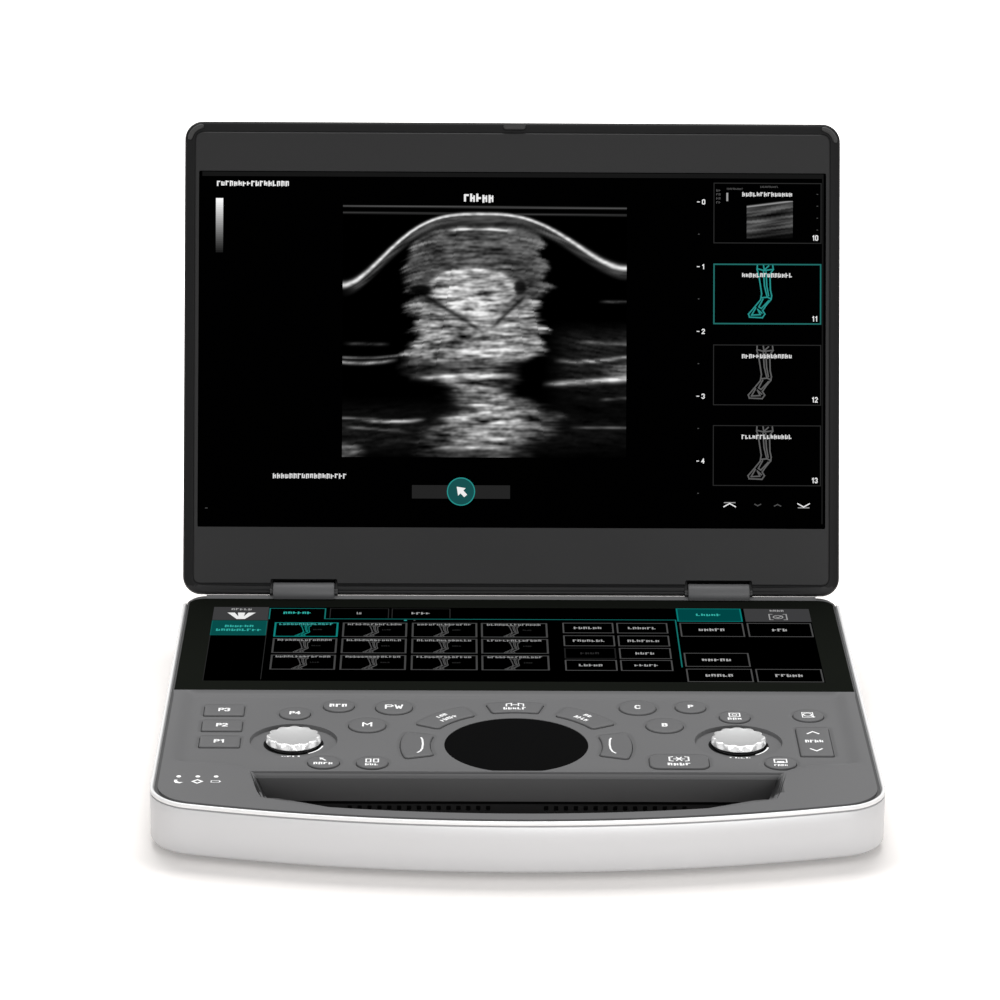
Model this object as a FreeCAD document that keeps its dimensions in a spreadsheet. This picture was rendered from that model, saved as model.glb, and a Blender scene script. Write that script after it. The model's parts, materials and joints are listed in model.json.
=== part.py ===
import FreeCAD, Part
import math
import os
import re

import Sketcher
from FreeCAD import Placement, Rotation, Vector

# A laptop-style portable ultrasound scanner, in millimetres.
# X runs to the user's right, Y away from the user, Z up. The pieces are drawn with Y = 0 in the
# middle of the control panel and are then placed so that the origin is under the middle of the
# whole machine, on the surface it stands on.

SIZES = {
    # base outline, seen from above
    "base_width": 361,
    "base_front": -149.3,
    "base_rear": 165,
    "front_radius": 640,
    "front_corner": 26,
    "rear_corner": 10,
    "lip_rear": 167.2,
    # levels of the base, above the surface
    "foot_height": 1.5,
    "bottom_radius": 4,
    "deck_level": 30,
    "key_level": 28,
    "dish_level": 26,
    "cover_underside": 24.6,
    "rim_rise": 0.4,
    "rim_width": 3,
    "seam": 0.4,
    "wall": 2.2,
    "flange_level": 7.2,
    "flange_inset": 9,
    "fit": 0.2,
    "post_radius": 2.6,
    "boss_radius": 3.4,
    "screw_hole": 1.35,
    "screw_head": 2.8,
    # touch screen
    "glass_front": 24.9,
    "glass_rear": 163,
    "glass_thickness": 1.2,
    "glass_corner": 8,
    "touch_width": 326,
    "touch_front": 38,
    "touch_rear": 149.5,
    "touch_lcd_thickness": 4.4,
    "lcd_border": 2,
    # control panel
    "pad_y": -45,
    "pad_radius": 36.2,
    "knob_x": 112.5,
    "knob_y": -39.8,
    "dish_radius": 22,
    "knob_radius": 13.4,
    "knob_top": 30.6,
    "shaft_radius": 3,
    "shaft_clearance": 0.05,
    "small_key": 7.9,
    "large_key": 9.5,
    "key_rise": 0.9,
    "key_gap": 0.35,
    "key_lip": 1.2,
    "switch_level": 20.6,
    "board_level": 16,
    "board_thickness": 1.6,
    "field_half_width": 169,
    "field_front": -73,
    "shoulder_width": 14,
    "shoulder_depth": 13,
    "lamp_y": -92.8,
    # carry handle
    "opening_rear": -88.3,
    "opening_front": -136.8,
    "opening_width": 257,
    "end_slant": 6,
    "end_rise": 20.8,
    "knee_inset": 36.5,
    "knee_rise": 7.3,
    "liner_wall": 2,
    "vent_low": 9.5,
    "vent_high": 15.5,
    "vent_middle": 50,
    "vent_half_width": 38,
    "slot_low": 10.4,
    "slot_high": 13,
    "slot_width": 2.4,
    "slot_pitch": 4.9,
    # lid, drawn lying flat: X to the right, Y up the lid, Z out of the display
    "lid_width": 362.8,
    "lid_height": 261.7,
    "lid_thickness": 12.3,
    "lid_corner": 10,
    "lid_wall": 2.5,
    "lid_tilt": 19.6,
    "lid_foot_y": 165.5,
    "lid_foot_z": 31.5,
    "axis_up_lid": 1.35,
    "axis_behind_face": 0.94,
    "bezel_depth": 3.6,
    "window_width": 346.8,
    "window_height": 196.8,
    "window_low": 37.35,
    "hinge_x": 114.5,
    "hinge_width": 33.8,
    "hinge_radius": 5.4,
    "cutout_width": 38,
    "cutout_height": 8.7,
    "pin_radius": 2,
    "bracket_low": 21,
    "bracket_thickness": 2.8,
    # connectors and boards
    "socket_y": 85,
    "socket_width": 60,
    "socket_low": 8,
    "socket_high": 23,
    "port_width": 80,
    "port_low": 9.6,
    "port_high": 19.6,
    "board_low": 8,
    # battery and fan
    "battery_low": 5.2,
    "battery_high": 19.2,
    "hatch_half_width": 62,
    "hatch_front": 62,
    "hatch_rear": 142,
    "fan_x": 50,
    "fan_y": -58,
    "fan_low": 4,
    "fan_high": 15.5,
    "fan_half_width": 26,
    "fan_bore": 23,
    "blade_tip": 22,
    "hub_radius": 9,
}

PARTS = []
VOLUMES = {}
DOC = FreeCAD.newDocument("ultrasound_scanner")
SHEET = DOC.addObject("Spreadsheet::Sheet", "Sizes")
for row, (alias, number) in enumerate(SIZES.items(), 1):
    SHEET.set(f"A{row}", alias)
    SHEET.set(f"B{row}", str(number))
    SHEET.setAlias(f"B{row}", alias)
SHEET.set(f"A{len(SIZES) + 1}", "middle_y")
SHEET.set(f"B{len(SIZES) + 1}", "0")
SHEET.setAlias(f"B{len(SIZES) + 1}", "middle_y")
DOC.recompute()


# ---------------------------------------------------------------- helpers

def bound(formula):
    """A formula in the sheet's aliases, written as FreeCAD reads it."""
    return re.sub(r"[a-z]\w+", lambda word: "Sizes." + word.group() if word.group() in SIZES
                  or word.group() == "middle_y" else word.group(), str(formula))


def size(formula):
    return float(SHEET.evalExpression(bound(formula)))


def new_body(name, on_lid=False):
    body = DOC.addObject("PartDesign::Body", name)
    body.Label = name
    if on_lid:
        body.setExpression("Placement.Base.y", bound("lid_foot_y - middle_y"))
        body.setExpression("Placement.Base.z", bound("lid_foot_z"))
        body.Placement.Rotation = Rotation(Vector(1, 0, 0), 90)
        body.setExpression("Placement.Rotation.Angle", bound("90 - lid_tilt"))
    else:
        body.setExpression("Placement.Base.y", bound("-middle_y"))
    PARTS.append(body)
    return body


def new_sketch(body, height, plane="XY_Plane"):
    sketch = body.newObject("Sketcher::SketchObject", "outline")
    support = next(f for f in body.Origin.OriginFeatures if f.Role == plane)
    sketch.AttachmentSupport = [(support, "")]
    sketch.MapMode = "FlatFace"
    sketch.setExpression("AttachmentOffset.Base.z", bound(height))
    return sketch


def driven(sketch, kind, *target, formula):
    """A dimension of the sketch that follows a formula in the sheet."""
    index = sketch.addConstraint(Sketcher.Constraint(kind, *target, size(formula)))
    name = f"size{index}"
    sketch.renameConstraint(index, name)
    sketch.setExpression("Constraints." + name, bound(formula))


def circle(x, y, radius):
    def draw(sketch):
        middle = Vector(size(x), size(y), 0)
        ring = sketch.addGeometry(Part.Circle(middle, Vector(0, 0, 1), size(radius)))
        driven(sketch, "DistanceX", -1, 1, ring, 3, formula=x)
        driven(sketch, "DistanceY", -1, 1, ring, 3, formula=y)
        driven(sketch, "Radius", ring, formula=radius)
    return draw


def box(x0, y0, x1, y1):
    """A sharp rectangle between two corners given as formulas."""
    def draw(sketch):
        corners = [(x0, y0), (x1, y0), (x1, y1), (x0, y1)]
        spots = [Vector(size(x), size(y), 0) for x, y in corners]
        sides = [sketch.addGeometry(Part.LineSegment(spots[i], spots[(i + 1) % 4])) for i in range(4)]
        for i in range(4):
            sketch.addConstraint(Sketcher.Constraint("Coincident", sides[i], 2, sides[(i + 1) % 4], 1))
        for side, kind in zip(sides, ("Horizontal", "Vertical", "Horizontal", "Vertical")):
            sketch.addConstraint(Sketcher.Constraint(kind, side))
        for corner, (x, y) in ((0, (x0, y0)), (2, (x1, y1))):
            driven(sketch, "DistanceX", -1, 1, sides[corner], 1, formula=x)
            driven(sketch, "DistanceY", -1, 1, sides[corner], 1, formula=y)
    return draw


def edges_of(wire):
    """The wire's lines and arcs as sketch geometry, in order."""
    for edge in wire.OrderedEdges:
        first, last = edge.FirstParameter, edge.LastParameter
        ends = [edge.valueAt(first), edge.valueAt(last)]
        if isinstance(edge.Curve, Part.Line):
            yield Part.LineSegment(*ends)
        elif abs(last - first - 2 * math.pi) < 1e-6:
            yield Part.Circle(edge.Curve.Center, Vector(0, 0, 1), edge.Curve.Radius)
        else:
            yield Part.Arc(ends[0], edge.valueAt((first + last) / 2), ends[1])


def traced(wire):
    def draw(sketch):
        for item in edges_of(wire):
            index = sketch.addGeometry(item)
            sketch.addConstraint(Sketcher.Constraint("Block", index))
    return draw


def polygon(points, radius=0):
    """A closed wire through points (x, y, own radius or nothing), its corners rounded."""
    spots = [Vector(p[0], p[1], 0) for p in points]
    radii = [p[2] if len(p) > 2 else radius for p in points]
    edges = []
    cuts = []
    for i, spot in enumerate(spots):
        before = (spots[i - 1] - spot).normalize()
        after = (spots[(i + 1) % len(spots)] - spot).normalize()
        half = before.getAngle(after) / 2
        reach = radii[i] / math.tan(half)
        start, end = spot + before * reach, spot + after * reach
        bisector = (before + after).normalize() if radii[i] else Vector()
        middle = spot + bisector * (radii[i] / math.sin(half) - radii[i])
        cuts.append((start, middle, end))
    for i, (start, middle, end) in enumerate(cuts):
        if radii[i]:
            edges.append(Part.Arc(start, middle, end).toShape())
        following = cuts[(i + 1) % len(cuts)][0]
        if (following - end).Length > 1e-6:
            edges.append(Part.LineSegment(end, following).toShape())
    return Part.Wire(Part.__sortEdges__(edges))


def rounded(x0, y0, x1, y1, radius):
    """A rectangle with round corners, its numbers given as formulas."""
    left, low, right, high = size(x0), size(y0), size(x1), size(y1)
    return polygon([(left, low), (right, low), (right, high), (left, high)], size(radius))


def offset(wire, distance):
    return wire.makeOffset2D(distance) if distance else wire


def grow(body, outline, level, height, plane="XY_Plane", midplane=False):
    """Pads an outline upwards from a level."""
    sketch = new_sketch(body, level, plane)
    draw_all(sketch, outline)
    pad = body.newObject("PartDesign::Pad", "pad")
    pad.Profile = sketch
    pad.setExpression("Length", bound(height))
    if midplane:
        pad.Midplane = True
    finish(body, sketch, 1)
    return pad


def cut(body, outline, level, depth, plane="XY_Plane", midplane=False):
    """Pockets an outline downwards from a level."""
    sketch = new_sketch(body, level, plane)
    draw_all(sketch, outline)
    pocket = body.newObject("PartDesign::Pocket", "pocket")
    pocket.Profile = sketch
    pocket.setExpression("Length", bound(depth))
    if midplane:
        pocket.Midplane = True
    finish(body, sketch, -1)
    return pocket


def draw_all(sketch, outline):
    for draw in outline if isinstance(outline, (list, tuple)) else [outline]:
        (traced(draw) if isinstance(draw, Part.Wire) else draw)(sketch)


def finish(body, sketch, sign):
    """Recomputes, and stops where a feature added or removed nothing."""
    before = VOLUMES.get(body.Name, 0.0)
    DOC.recompute()
    after = body.Shape.Volume
    if (after - before) * sign < 1e-3:
        raise RuntimeError(f"{body.Label}: {sketch.Name} changed nothing ({before} to {after})")
    VOLUMES[body.Name] = after


def fillet(body, radius, picked):
    """Rounds the edges for which picked(edge) is true."""
    base = body.Tip
    names = [f"Edge{i}" for i, edge in enumerate(base.Shape.Edges, 1) if picked(edge)]
    feature = body.newObject("PartDesign::Fillet", "fillet")
    feature.Base = (base, names)
    feature.setExpression("Radius", bound(radius))
    DOC.recompute()
    VOLUMES[body.Name] = body.Shape.Volume
    return feature


def flat_at(level):
    """Picks the edges that lie at one height in the body's own frame."""
    height = size(level)
    return lambda edge: edge.BoundBox.ZLength < 1e-4 and abs(edge.BoundBox.ZMin - height) < 1e-4


# ---------------------------------------------------------------- outlines

def base_outline(inset=0.0):
    """The base from above: straight sides and rear, a bowed front with large round corners."""
    half = size("base_width") / 2
    front, rear = size("base_front"), size("base_rear")
    radius, corner, back = size("front_radius"), size("front_corner"), size("rear_corner")
    centre = Vector(0, front + radius, 0)
    side = half - corner
    corner_y = centre.y - math.sqrt((radius - corner) ** 2 - side ** 2)
    right = Vector(side, corner_y, 0)
    tangent = centre + (right - centre) * (radius / (radius - corner))
    diagonal = (Vector(half, corner_y, 0) + tangent) * 0.5 - right
    middle = right + diagonal.normalize() * corner
    mirror = lambda p: Vector(-p.x, p.y, 0)
    turn = back * (1 - math.sqrt(0.5))
    rear_side = Vector(half, rear - back, 0)
    rear_middle = Vector(half - turn, rear - turn, 0)
    rear_end = Vector(half - back, rear, 0)
    low = Vector(half, corner_y, 0)
    edges = [
        Part.Arc(mirror(tangent), Vector(0, front, 0), tangent),
        Part.Arc(tangent, middle, low),
        Part.LineSegment(low, rear_side),
        Part.Arc(rear_side, rear_middle, rear_end),
        Part.LineSegment(rear_end, mirror(rear_end)),
        Part.Arc(mirror(rear_end), mirror(rear_middle), mirror(rear_side)),
        Part.LineSegment(mirror(rear_side), mirror(low)),
        Part.Arc(mirror(low), mirror(middle), mirror(tangent)),
    ]
    return offset(Part.Wire([edge.toShape() for edge in edges]), -inset)


def handle_outline(extra=0.0):
    """The carry opening: straight rear, slanting ends, bowed front."""
    rear, front = size("opening_rear"), size("opening_front")
    end = size("opening_width") / 2
    foot = Vector(end - size("end_slant"), front + size("end_rise"), 0)
    knee = Vector(end - size("knee_inset"), front + size("knee_rise"), 0)
    mirror = lambda p: Vector(-p.x, p.y, 0)
    edges = [
        Part.LineSegment(Vector(-end, rear, 0), Vector(end, rear, 0)),
        Part.LineSegment(Vector(end, rear, 0), foot),
        Part.LineSegment(foot, knee),
        Part.Arc(knee, Vector(0, front, 0), mirror(knee)),
        Part.LineSegment(mirror(knee), mirror(foot)),
        Part.LineSegment(mirror(foot), Vector(-end, rear, 0)),
    ]
    return offset(Part.Wire([edge.toShape() for edge in edges]), extra)


def field_outline():
    """The sunken part of the control panel, open to the carry opening at the front."""
    side, rear, front = size("field_half_width"), size("glass_front - 3.5"), size("field_front")
    gap = size("opening_width / 2 + 1")
    shoulder, low = gap + size("shoulder_width"), front - size("shoulder_depth")
    deep = size("opening_rear - 2")
    return polygon([
        (-side, rear), (-side, front), (-shoulder, front), (-gap, low), (-gap, deep),
        (gap, deep), (gap, low), (shoulder, front), (side, front), (side, rear),
    ])


def arc_key_outline(start, end, inner, outer, radius=2.0):
    """One key of the ring round the touchpad, between two angles, with round corners."""
    centre = Vector(0, size("pad_y"), 0)
    spot = lambda r, a: centre + Vector(math.cos(a), math.sin(a), 0) * r
    first, last = math.radians(start), math.radians(end)
    far, near = outer - radius, inner + radius
    far_turn, near_turn = math.asin(radius / far), math.asin(radius / near)
    far_side, near_side = math.sqrt(far ** 2 - radius ** 2), math.sqrt(near ** 2 - radius ** 2)

    def corner(distance, turn, edge_angle, outward):
        """The middle of a round corner beside one of the key's straight ends."""
        heart = spot(distance, turn)
        tip = spot(outer if outward else inner, edge_angle)
        return heart + (tip - heart).normalize() * radius

    middle = (first + last) / 2
    edges = [
        Part.Arc(spot(outer, first + far_turn), spot(outer, middle), spot(outer, last - far_turn)),
        Part.Arc(spot(outer, last - far_turn), corner(far, last - far_turn, last, True),
                 spot(far_side, last)),
        Part.LineSegment(spot(far_side, last), spot(near_side, last)),
        Part.Arc(spot(near_side, last), corner(near, last - near_turn, last, False),
                 spot(inner, last - near_turn)),
        Part.Arc(spot(inner, last - near_turn), spot(inner, middle), spot(inner, first + near_turn)),
        Part.Arc(spot(inner, first + near_turn), corner(near, first + near_turn, first, False),
                 spot(near_side, first)),
        Part.LineSegment(spot(near_side, first), spot(far_side, first)),
        Part.Arc(spot(far_side, first), corner(far, first + far_turn, first, True),
                 spot(outer, first + far_turn)),
    ]
    return Part.Wire([edge.toShape() for edge in edges])


# ---------------------------------------------------------------- keys

ROUND_KEYS = {
    "key_preset_four": (-113.1, -3, "small_key"),
    "key_reset": (-90.9, 7.7, "small_key"),
    "key_pulsed_wave": (-62.4, 6, "large_key"),
    "key_motion_mode": (-75.7, -18.7, "large_key"),
    "key_cursor": (-96.4, -68.7, "small_key"),
    "key_menu": (-72.2, -69, "small_key"),
    "key_colour_mode": (63.3, 6.6, "large_key"),
    "key_brightness_mode": (76.1, -18.1, "large_key"),
    "key_power_mode": (90.7, 7.6, "small_key"),
    "key_dual_view": (112.7, -6, "small_key"),
    "key_save": (131.8, -68, "small_key"),
    "key_zoom": (150.7, -3.8, "small_key"),
}
SQUARE_KEYS = {
    "key_preset_three": (-159.9, -6.1, -139.4, 8.4, 1.2),
    "key_preset_two": (-159.9, -27.2, -139.4, -12.7, 1.2),
    "key_preset_one": (-159.9, -49.1, -139.4, -34.6, 1.2),
    "key_freeze": (66.3, -75.5, 96, -57.3, 5),
}
ARC_KEYS = {
    "key_update": (75, 105, 45, 58.5),
    "key_measure": (117, 151, 45, 58.5),
    "key_clear": (29.6, 63, 45, 58.5),
    "key_set_left": (163, 198, 43.5, 58.5),
    "key_set_right": (-18, 17, 43.5, 58.5),
}
ROCKER = (142.7, -58.5, 159.4, -20.7, 1.2)
ARC_MIDDLE = 51.5
ROCKER_SWITCH_REACH = 12
KEY_NAMES = [*ROUND_KEYS, *SQUARE_KEYS, *ARC_KEYS]


def key_outline(name, extra=0.0):
    """A pressed key's outline, or one that runs a little outside it."""
    if name in ROUND_KEYS:
        x, y, radius = ROUND_KEYS[name]
        return Part.Wire(Part.Circle(Vector(x, y, 0), Vector(0, 0, 1), size(radius) + extra).toShape())
    if name in SQUARE_KEYS:
        return plate_outline(SQUARE_KEYS[name], extra)
    start, end, inner, outer = ARC_KEYS[name]
    turn = math.degrees(extra / ARC_MIDDLE)
    return arc_key_outline(start - turn, end + turn, inner - extra, outer + extra, 2.0 + extra)


def plate_outline(plate, extra=0.0):
    x0, y0, x1, y1, radius = plate
    x0, y0, x1, y1 = x0 - extra, y0 - extra, x1 + extra, y1 + extra
    return polygon([(x0, y0), (x1, y0), (x1, y1), (x0, y1)], radius + extra)


def key_middle(name):
    """Where the switch of a key stands."""
    if name in ARC_KEYS:
        angle = math.radians(sum(ARC_KEYS[name][:2]) / 2)
        return Vector(math.cos(angle) * ARC_MIDDLE, size("pad_y") + math.sin(angle) * ARC_MIDDLE, 0)
    return key_outline(name).BoundBox.Center


def keys():
    for name in KEY_NAMES:
        body = new_body(name)
        middle = key_middle(name)
        grow(body, key_outline(name), "cover_underside - 0.1 - key_lip",
             "key_level + key_rise + key_lip + 0.1 - cover_underside")
        fillet(body, "0.4", flat_at("key_level + key_rise"))
        grow(body, key_outline(name, size("key_lip")), "cover_underside - 0.1 - key_lip", "key_lip")
        grow(body, circle(middle.x, middle.y, 2.5), "switch_level + 0.9",
             "cover_underside - switch_level - 2")


def depth_rocker():
    body = new_body("depth_rocker")
    x0, y0, x1, y1 = ROCKER[:4]
    middle = (y0 + y1) / 2
    grow(body, plate_outline(ROCKER), "cover_underside - 0.9", "key_level + key_rise + 0.9 - cover_underside")
    fillet(body, "0.4", flat_at("key_level + key_rise"))
    for end in (-1, 1):
        spot = middle + end * ROCKER_SWITCH_REACH
        grow(body, circle((x0 + x1) / 2, spot, 2), "switch_level + 1.2",
             "cover_underside - switch_level - 1.7")
    grow(body, box(x0 - 2.5, middle - 1.5, x1 + 2.5, middle + 1.5), "cover_underside - 3.1", "2.4")


# ---------------------------------------------------------------- base

def side_band():
    body = new_body("side_band")
    top = "deck_level + rim_rise"
    grow(body, base_outline(), "foot_height", top + " - foot_height")
    fillet(body, "bottom_radius", flat_at("foot_height"))
    fillet(body, "1.2", flat_at(top))
    cut(body, base_outline(size("flange_inset")), "flange_level", "flange_level")
    cut(body, base_outline(size("rim_width")), top, top + " - flange_level")
    cut(body, box("-base_width", "glass_rear - 9", "base_width", "base_rear + 1"), top,
        top + " - cover_underside + 0.2")
    cut_ports(body)


def bottom_cover():
    body = new_body("bottom_cover")
    floor = "foot_height + wall"
    step = "flange_level + wall"
    grow(body, base_outline(size("flange_inset + fit")), "foot_height", step + " - foot_height")
    grow(body, base_outline(size("rim_width + fit")), "flange_level + 0.1",
         "cover_underside - 0.2 - flange_level")
    cut(body, base_outline(size("rim_width + fit + wall")), "cover_underside",
        "cover_underside - flange_level - wall")
    cut(body, base_outline(size("flange_inset + fit + wall")), step, step + " - foot_height - wall")
    cut(body, handle_outline(size("liner_wall + fit")), "cover_underside", "cover_underside")
    grow(body, [circle(x, y, "post_radius") for x, y in BOARD_POSTS], floor,
         "board_low - foot_height - wall")
    grow(body, [circle(x, y, "post_radius") for x, y in KEY_POSTS], floor,
         "board_level - foot_height - wall")
    hatch = rounded("-hatch_half_width - fit", "hatch_front - fit", "hatch_half_width + fit",
                    "hatch_rear + fit", "4")
    cut(body, hatch, floor, "wall")
    cut_ports(body)
    bosses = [circle(x, y, "boss_radius") for x, y in SCREW_SPOTS]
    grow(body, bosses, "foot_height", "cover_underside - 0.2 - foot_height")
    holes = [circle(x, y, "screw_hole") for x, y in SCREW_SPOTS]
    cut(body, holes, "cover_underside", "cover_underside")
    cut(body, [circle(x, y, "screw_head") for x, y in SCREW_SPOTS], "foot_height + 1.6", "1.6")


def cut_ports(body):
    """Openings in a wall for the probe socket, the cable sockets and the hinge brackets."""
    cut(body, box("socket_y - socket_width / 2 - fit", "socket_low - fit",
                  "socket_y + socket_width / 2 + fit", "socket_high + fit"),
        "base_width / 2 + 1", "20", plane="YZ_Plane")
    cut(body, box("-port_width / 2 - fit", "port_low - fit", "port_width / 2 + fit", "port_high + fit"),
        "15 - base_rear", "30", plane="XZ_Plane")
    notches = [box(f"{side} * hinge_x - hinge_width / 2 - 0.3", "base_rear - 14",
                   f"{side} * hinge_x + hinge_width / 2 + 0.3", "base_rear + 5") for side in (-1, 1)]
    cut(body, notches, "cover_underside", "cover_underside - bracket_low + 0.3")


BOARD_POSTS = [(side * x, y) for side in (-1, 1) for x in (74, 146) for y in (40, 136)]
KEY_POSTS = [(-155, -79), (-155, 17), (0, 17), (155, 17), (155, -79), (0, -79)]
SCREW_SPOTS = [(side * x, y) for side in (-1, 1)
               for x, y in ((164, -88), (166, 20), (160, 145), (80, 148))]


def top_cover():
    body = new_body("top_cover")
    half = size("base_width") / 2 - size("rim_width") - size("seam")
    inner = base_outline(size("rim_width") + size("seam"))
    lip = size("lip_rear")
    grow(body, inner, "cover_underside", "deck_level - cover_underside")
    rear = polygon([(-half, 130, 0), (half, 130, 0), (half, lip, 9), (-half, lip, 9)])
    grow(body, rear, "deck_level - glass_thickness - 1.2", "glass_thickness + 1.2")
    cut(body, field_outline(), "deck_level", "deck_level - key_level")
    cut(body, handle_outline(), "deck_level", "deck_level")
    cut(body, [circle(f"{side} * knob_x", "knob_y", "dish_radius") for side in (-1, 1)],
        "key_level", "key_level - dish_level")
    cut(body, [circle(f"{side} * knob_x", "knob_y", "shaft_radius + 0.35") for side in (-1, 1)],
        "key_level", "key_level")
    openings = [key_outline(name, size("key_gap")) for name in KEY_NAMES]
    openings.append(plate_outline(ROCKER, size("key_gap")))
    openings.append(circle(0, "pad_y", "pad_radius + 0.15"))
    cut(body, openings, "key_level", "key_level")
    cut(body, [circle(x, "lamp_y", 1.3) for x in LAMP_SPOTS], "deck_level", "deck_level")
    cut(body, glass_outline(0.1), "deck_level", "glass_thickness + 0.1")
    cut(body, box("-touch_width / 2 - 3", "touch_front - 3", "touch_width / 2 + 3", "touch_rear + 3"),
        "deck_level", "deck_level")


LAMP_SPOTS = (-167, -157.6, -148.6)


def glass_outline(extra=0.0):
    half = size("base_width") / 2 - size("rim_width") - size("seam")
    front, rear, corner = size("glass_front"), size("glass_rear"), size("glass_corner")
    half += 1 if extra else 0
    return polygon([
        (-half, front - extra, 0), (half, front - extra, 0),
        (half, rear + extra, corner), (-half, rear + extra, corner),
    ])


def touch_screen():
    glass = new_body("touch_glass")
    grow(glass, glass_outline(), "deck_level - glass_thickness", "glass_thickness")
    panel = new_body("touch_lcd")
    grow(panel, box("-touch_width / 2 - lcd_border", "touch_front - lcd_border",
                    "touch_width / 2 + lcd_border", "touch_rear + lcd_border"),
         "deck_level - glass_thickness - touch_lcd_thickness", "touch_lcd_thickness")


def handle_liner():
    body = new_body("handle_liner")
    top = "cover_underside - 0.1"
    grow(body, handle_outline(size("liner_wall")), "foot_height", top + " - foot_height")
    cut(body, handle_outline(), top, "deck_level")
    for side in (-1, 1):
        middle = f"{side} * vent_middle"
        cut(body, box(middle + " - vent_half_width", "vent_low", middle + " + vent_half_width", "vent_high"),
            "-opening_rear", "8", plane="XZ_Plane", midplane=True)


def vent_grille():
    """Two slotted strips set back in the rear wall of the carry opening."""
    body = new_body("vent_grille")
    for side in (-1, 1):
        middle = f"{side} * vent_middle"
        grow(body, box(middle + " - vent_half_width + fit", "vent_low + fit",
                       middle + " + vent_half_width - fit", "vent_high - fit"),
             "-opening_rear - 1.9", "1.4", plane="XZ_Plane")
    slots = []
    for side in (-1, 1):
        for step in range(-7, 8):
            middle = f"{side} * vent_middle + {step} * slot_pitch"
            slots.append(box(middle + " - slot_width / 2", "slot_low",
                             middle + " + slot_width / 2", "slot_high"))
    cut(body, slots, "-opening_rear", "10", plane="XZ_Plane", midplane=True)


def touchpad():
    body = new_body("touchpad")
    grow(body, circle(0, "pad_y", "pad_radius"), "cover_underside", "key_level - cover_underside")
    fillet(body, "0.3", flat_at("key_level"))


def key_electronics():
    board = new_body("key_board")
    grow(board, rounded("-160", "-84", "160", "22", "3"), "board_level", "board_thickness")
    cut(board, [circle(f"{side} * knob_x", "knob_y", "4.5") for side in (-1, 1)], "deck_level", "deck_level")
    switches = new_body("tact_switches")
    top_of_board = "board_level + board_thickness"
    height = "switch_level - " + top_of_board.replace(" + ", " - ")
    spots = [(key_middle(name).x, key_middle(name).y) for name in KEY_NAMES]
    x0, y0, x1, y1 = ROCKER[:4]
    spots += [((x0 + x1) / 2, (y0 + y1) / 2 + end * ROCKER_SWITCH_REACH) for end in (-1, 1)]
    grow(switches, [box(x - 3, y - 3, x + 3, y + 3) for x, y in spots], top_of_board, height)


def knobs():
    for name, side in (("left", -1), ("right", 1)):
        x = f"{side} * knob_x"
        shaft = new_body(f"{name}_knob_shaft")
        grow(shaft, circle(x, "knob_y", "shaft_radius"), "switch_level", "knob_top - 2 - switch_level")
        grow(shaft, circle(x, "knob_y", "shaft_radius + 1.2"), "switch_level", "1.2")
        knob = new_body(f"{name}_knob")
        low = "dish_level + 1.2"
        grow(knob, circle(x, "knob_y", "knob_radius + 0.6"), low, "1.2")
        grow(knob, fluted_outline(side), low, "knob_top - dish_level - 1.2")
        fillet(knob, "0.5", flat_at("knob_top"))
        cut(knob, circle(x, "knob_y", "shaft_radius + shaft_clearance"), "knob_top - 1.8", "deck_level")


def fluted_outline(side):
    """The knob's rim: twelve shallow hollows between twelve lobes."""
    lobes = 12
    radius = size("knob_radius")
    centre = Vector(side * size("knob_x"), size("knob_y"), 0)
    spot = lambda r, a: centre + Vector(math.cos(a), math.sin(a), 0) * r
    edges = []
    step = 2 * math.pi / lobes
    for i in range(lobes):
        a = i * step
        edges.append(Part.Arc(spot(radius, a), spot(radius, a + 0.17 * step), spot(radius, a + 0.34 * step)))
        edges.append(Part.Arc(spot(radius, a + 0.34 * step), spot(radius - 0.9, a + 0.67 * step),
                              spot(radius, a + step)))
    return Part.Wire([edge.toShape() for edge in edges])


def encoders():
    body = new_body("encoders")
    for side in (-1, 1):
        x, y = side * size("knob_x"), size("knob_y")
        grow(body, box(x - 6.5, y - 6.5, x + 6.5, y + 6.5), "12.2", "3.7")
        grow(body, circle(x, y, 4.2), "12.2", "switch_level - 13.3")


def boards():
    main = new_body("main_board")
    top_of_board = "board_low + board_thickness"
    grow(main, rounded("-150", "34", "-70", "140", "2"), "board_low", "board_thickness")
    chips = [box(-130, 60, -96, 94), box(-90, 50, -78, 110), box(-145, 110, -110, 130)]
    grow(main, chips, top_of_board, "3")
    front = new_body("front_end_board")
    grow(front, rounded("70", "34", "150", "140", "2"), "board_low", "board_thickness")
    chips = [box(82 + 17 * i, 50 + 22 * j, 92 + 17 * i, 60 + 22 * j) for i in range(4) for j in range(4)]
    grow(front, chips, top_of_board, "2")
    battery = new_body("battery_pack")
    grow(battery, rounded("-hatch_half_width + 2", "hatch_front + 2", "hatch_half_width - 2",
                          "hatch_rear - 2", "3"), "battery_low", "battery_high - battery_low")
    hatch = new_body("battery_cover")
    grow(hatch, rounded("-hatch_half_width", "hatch_front", "hatch_half_width", "hatch_rear", "4"),
         "foot_height", "wall")
    grips = [box(-12, f"hatch_front + 4 + 4 * {i}", 12, f"hatch_front + 5.6 + 4 * {i}") for i in range(3)]
    cut(hatch, grips, "foot_height + 0.8", "0.8")


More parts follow.
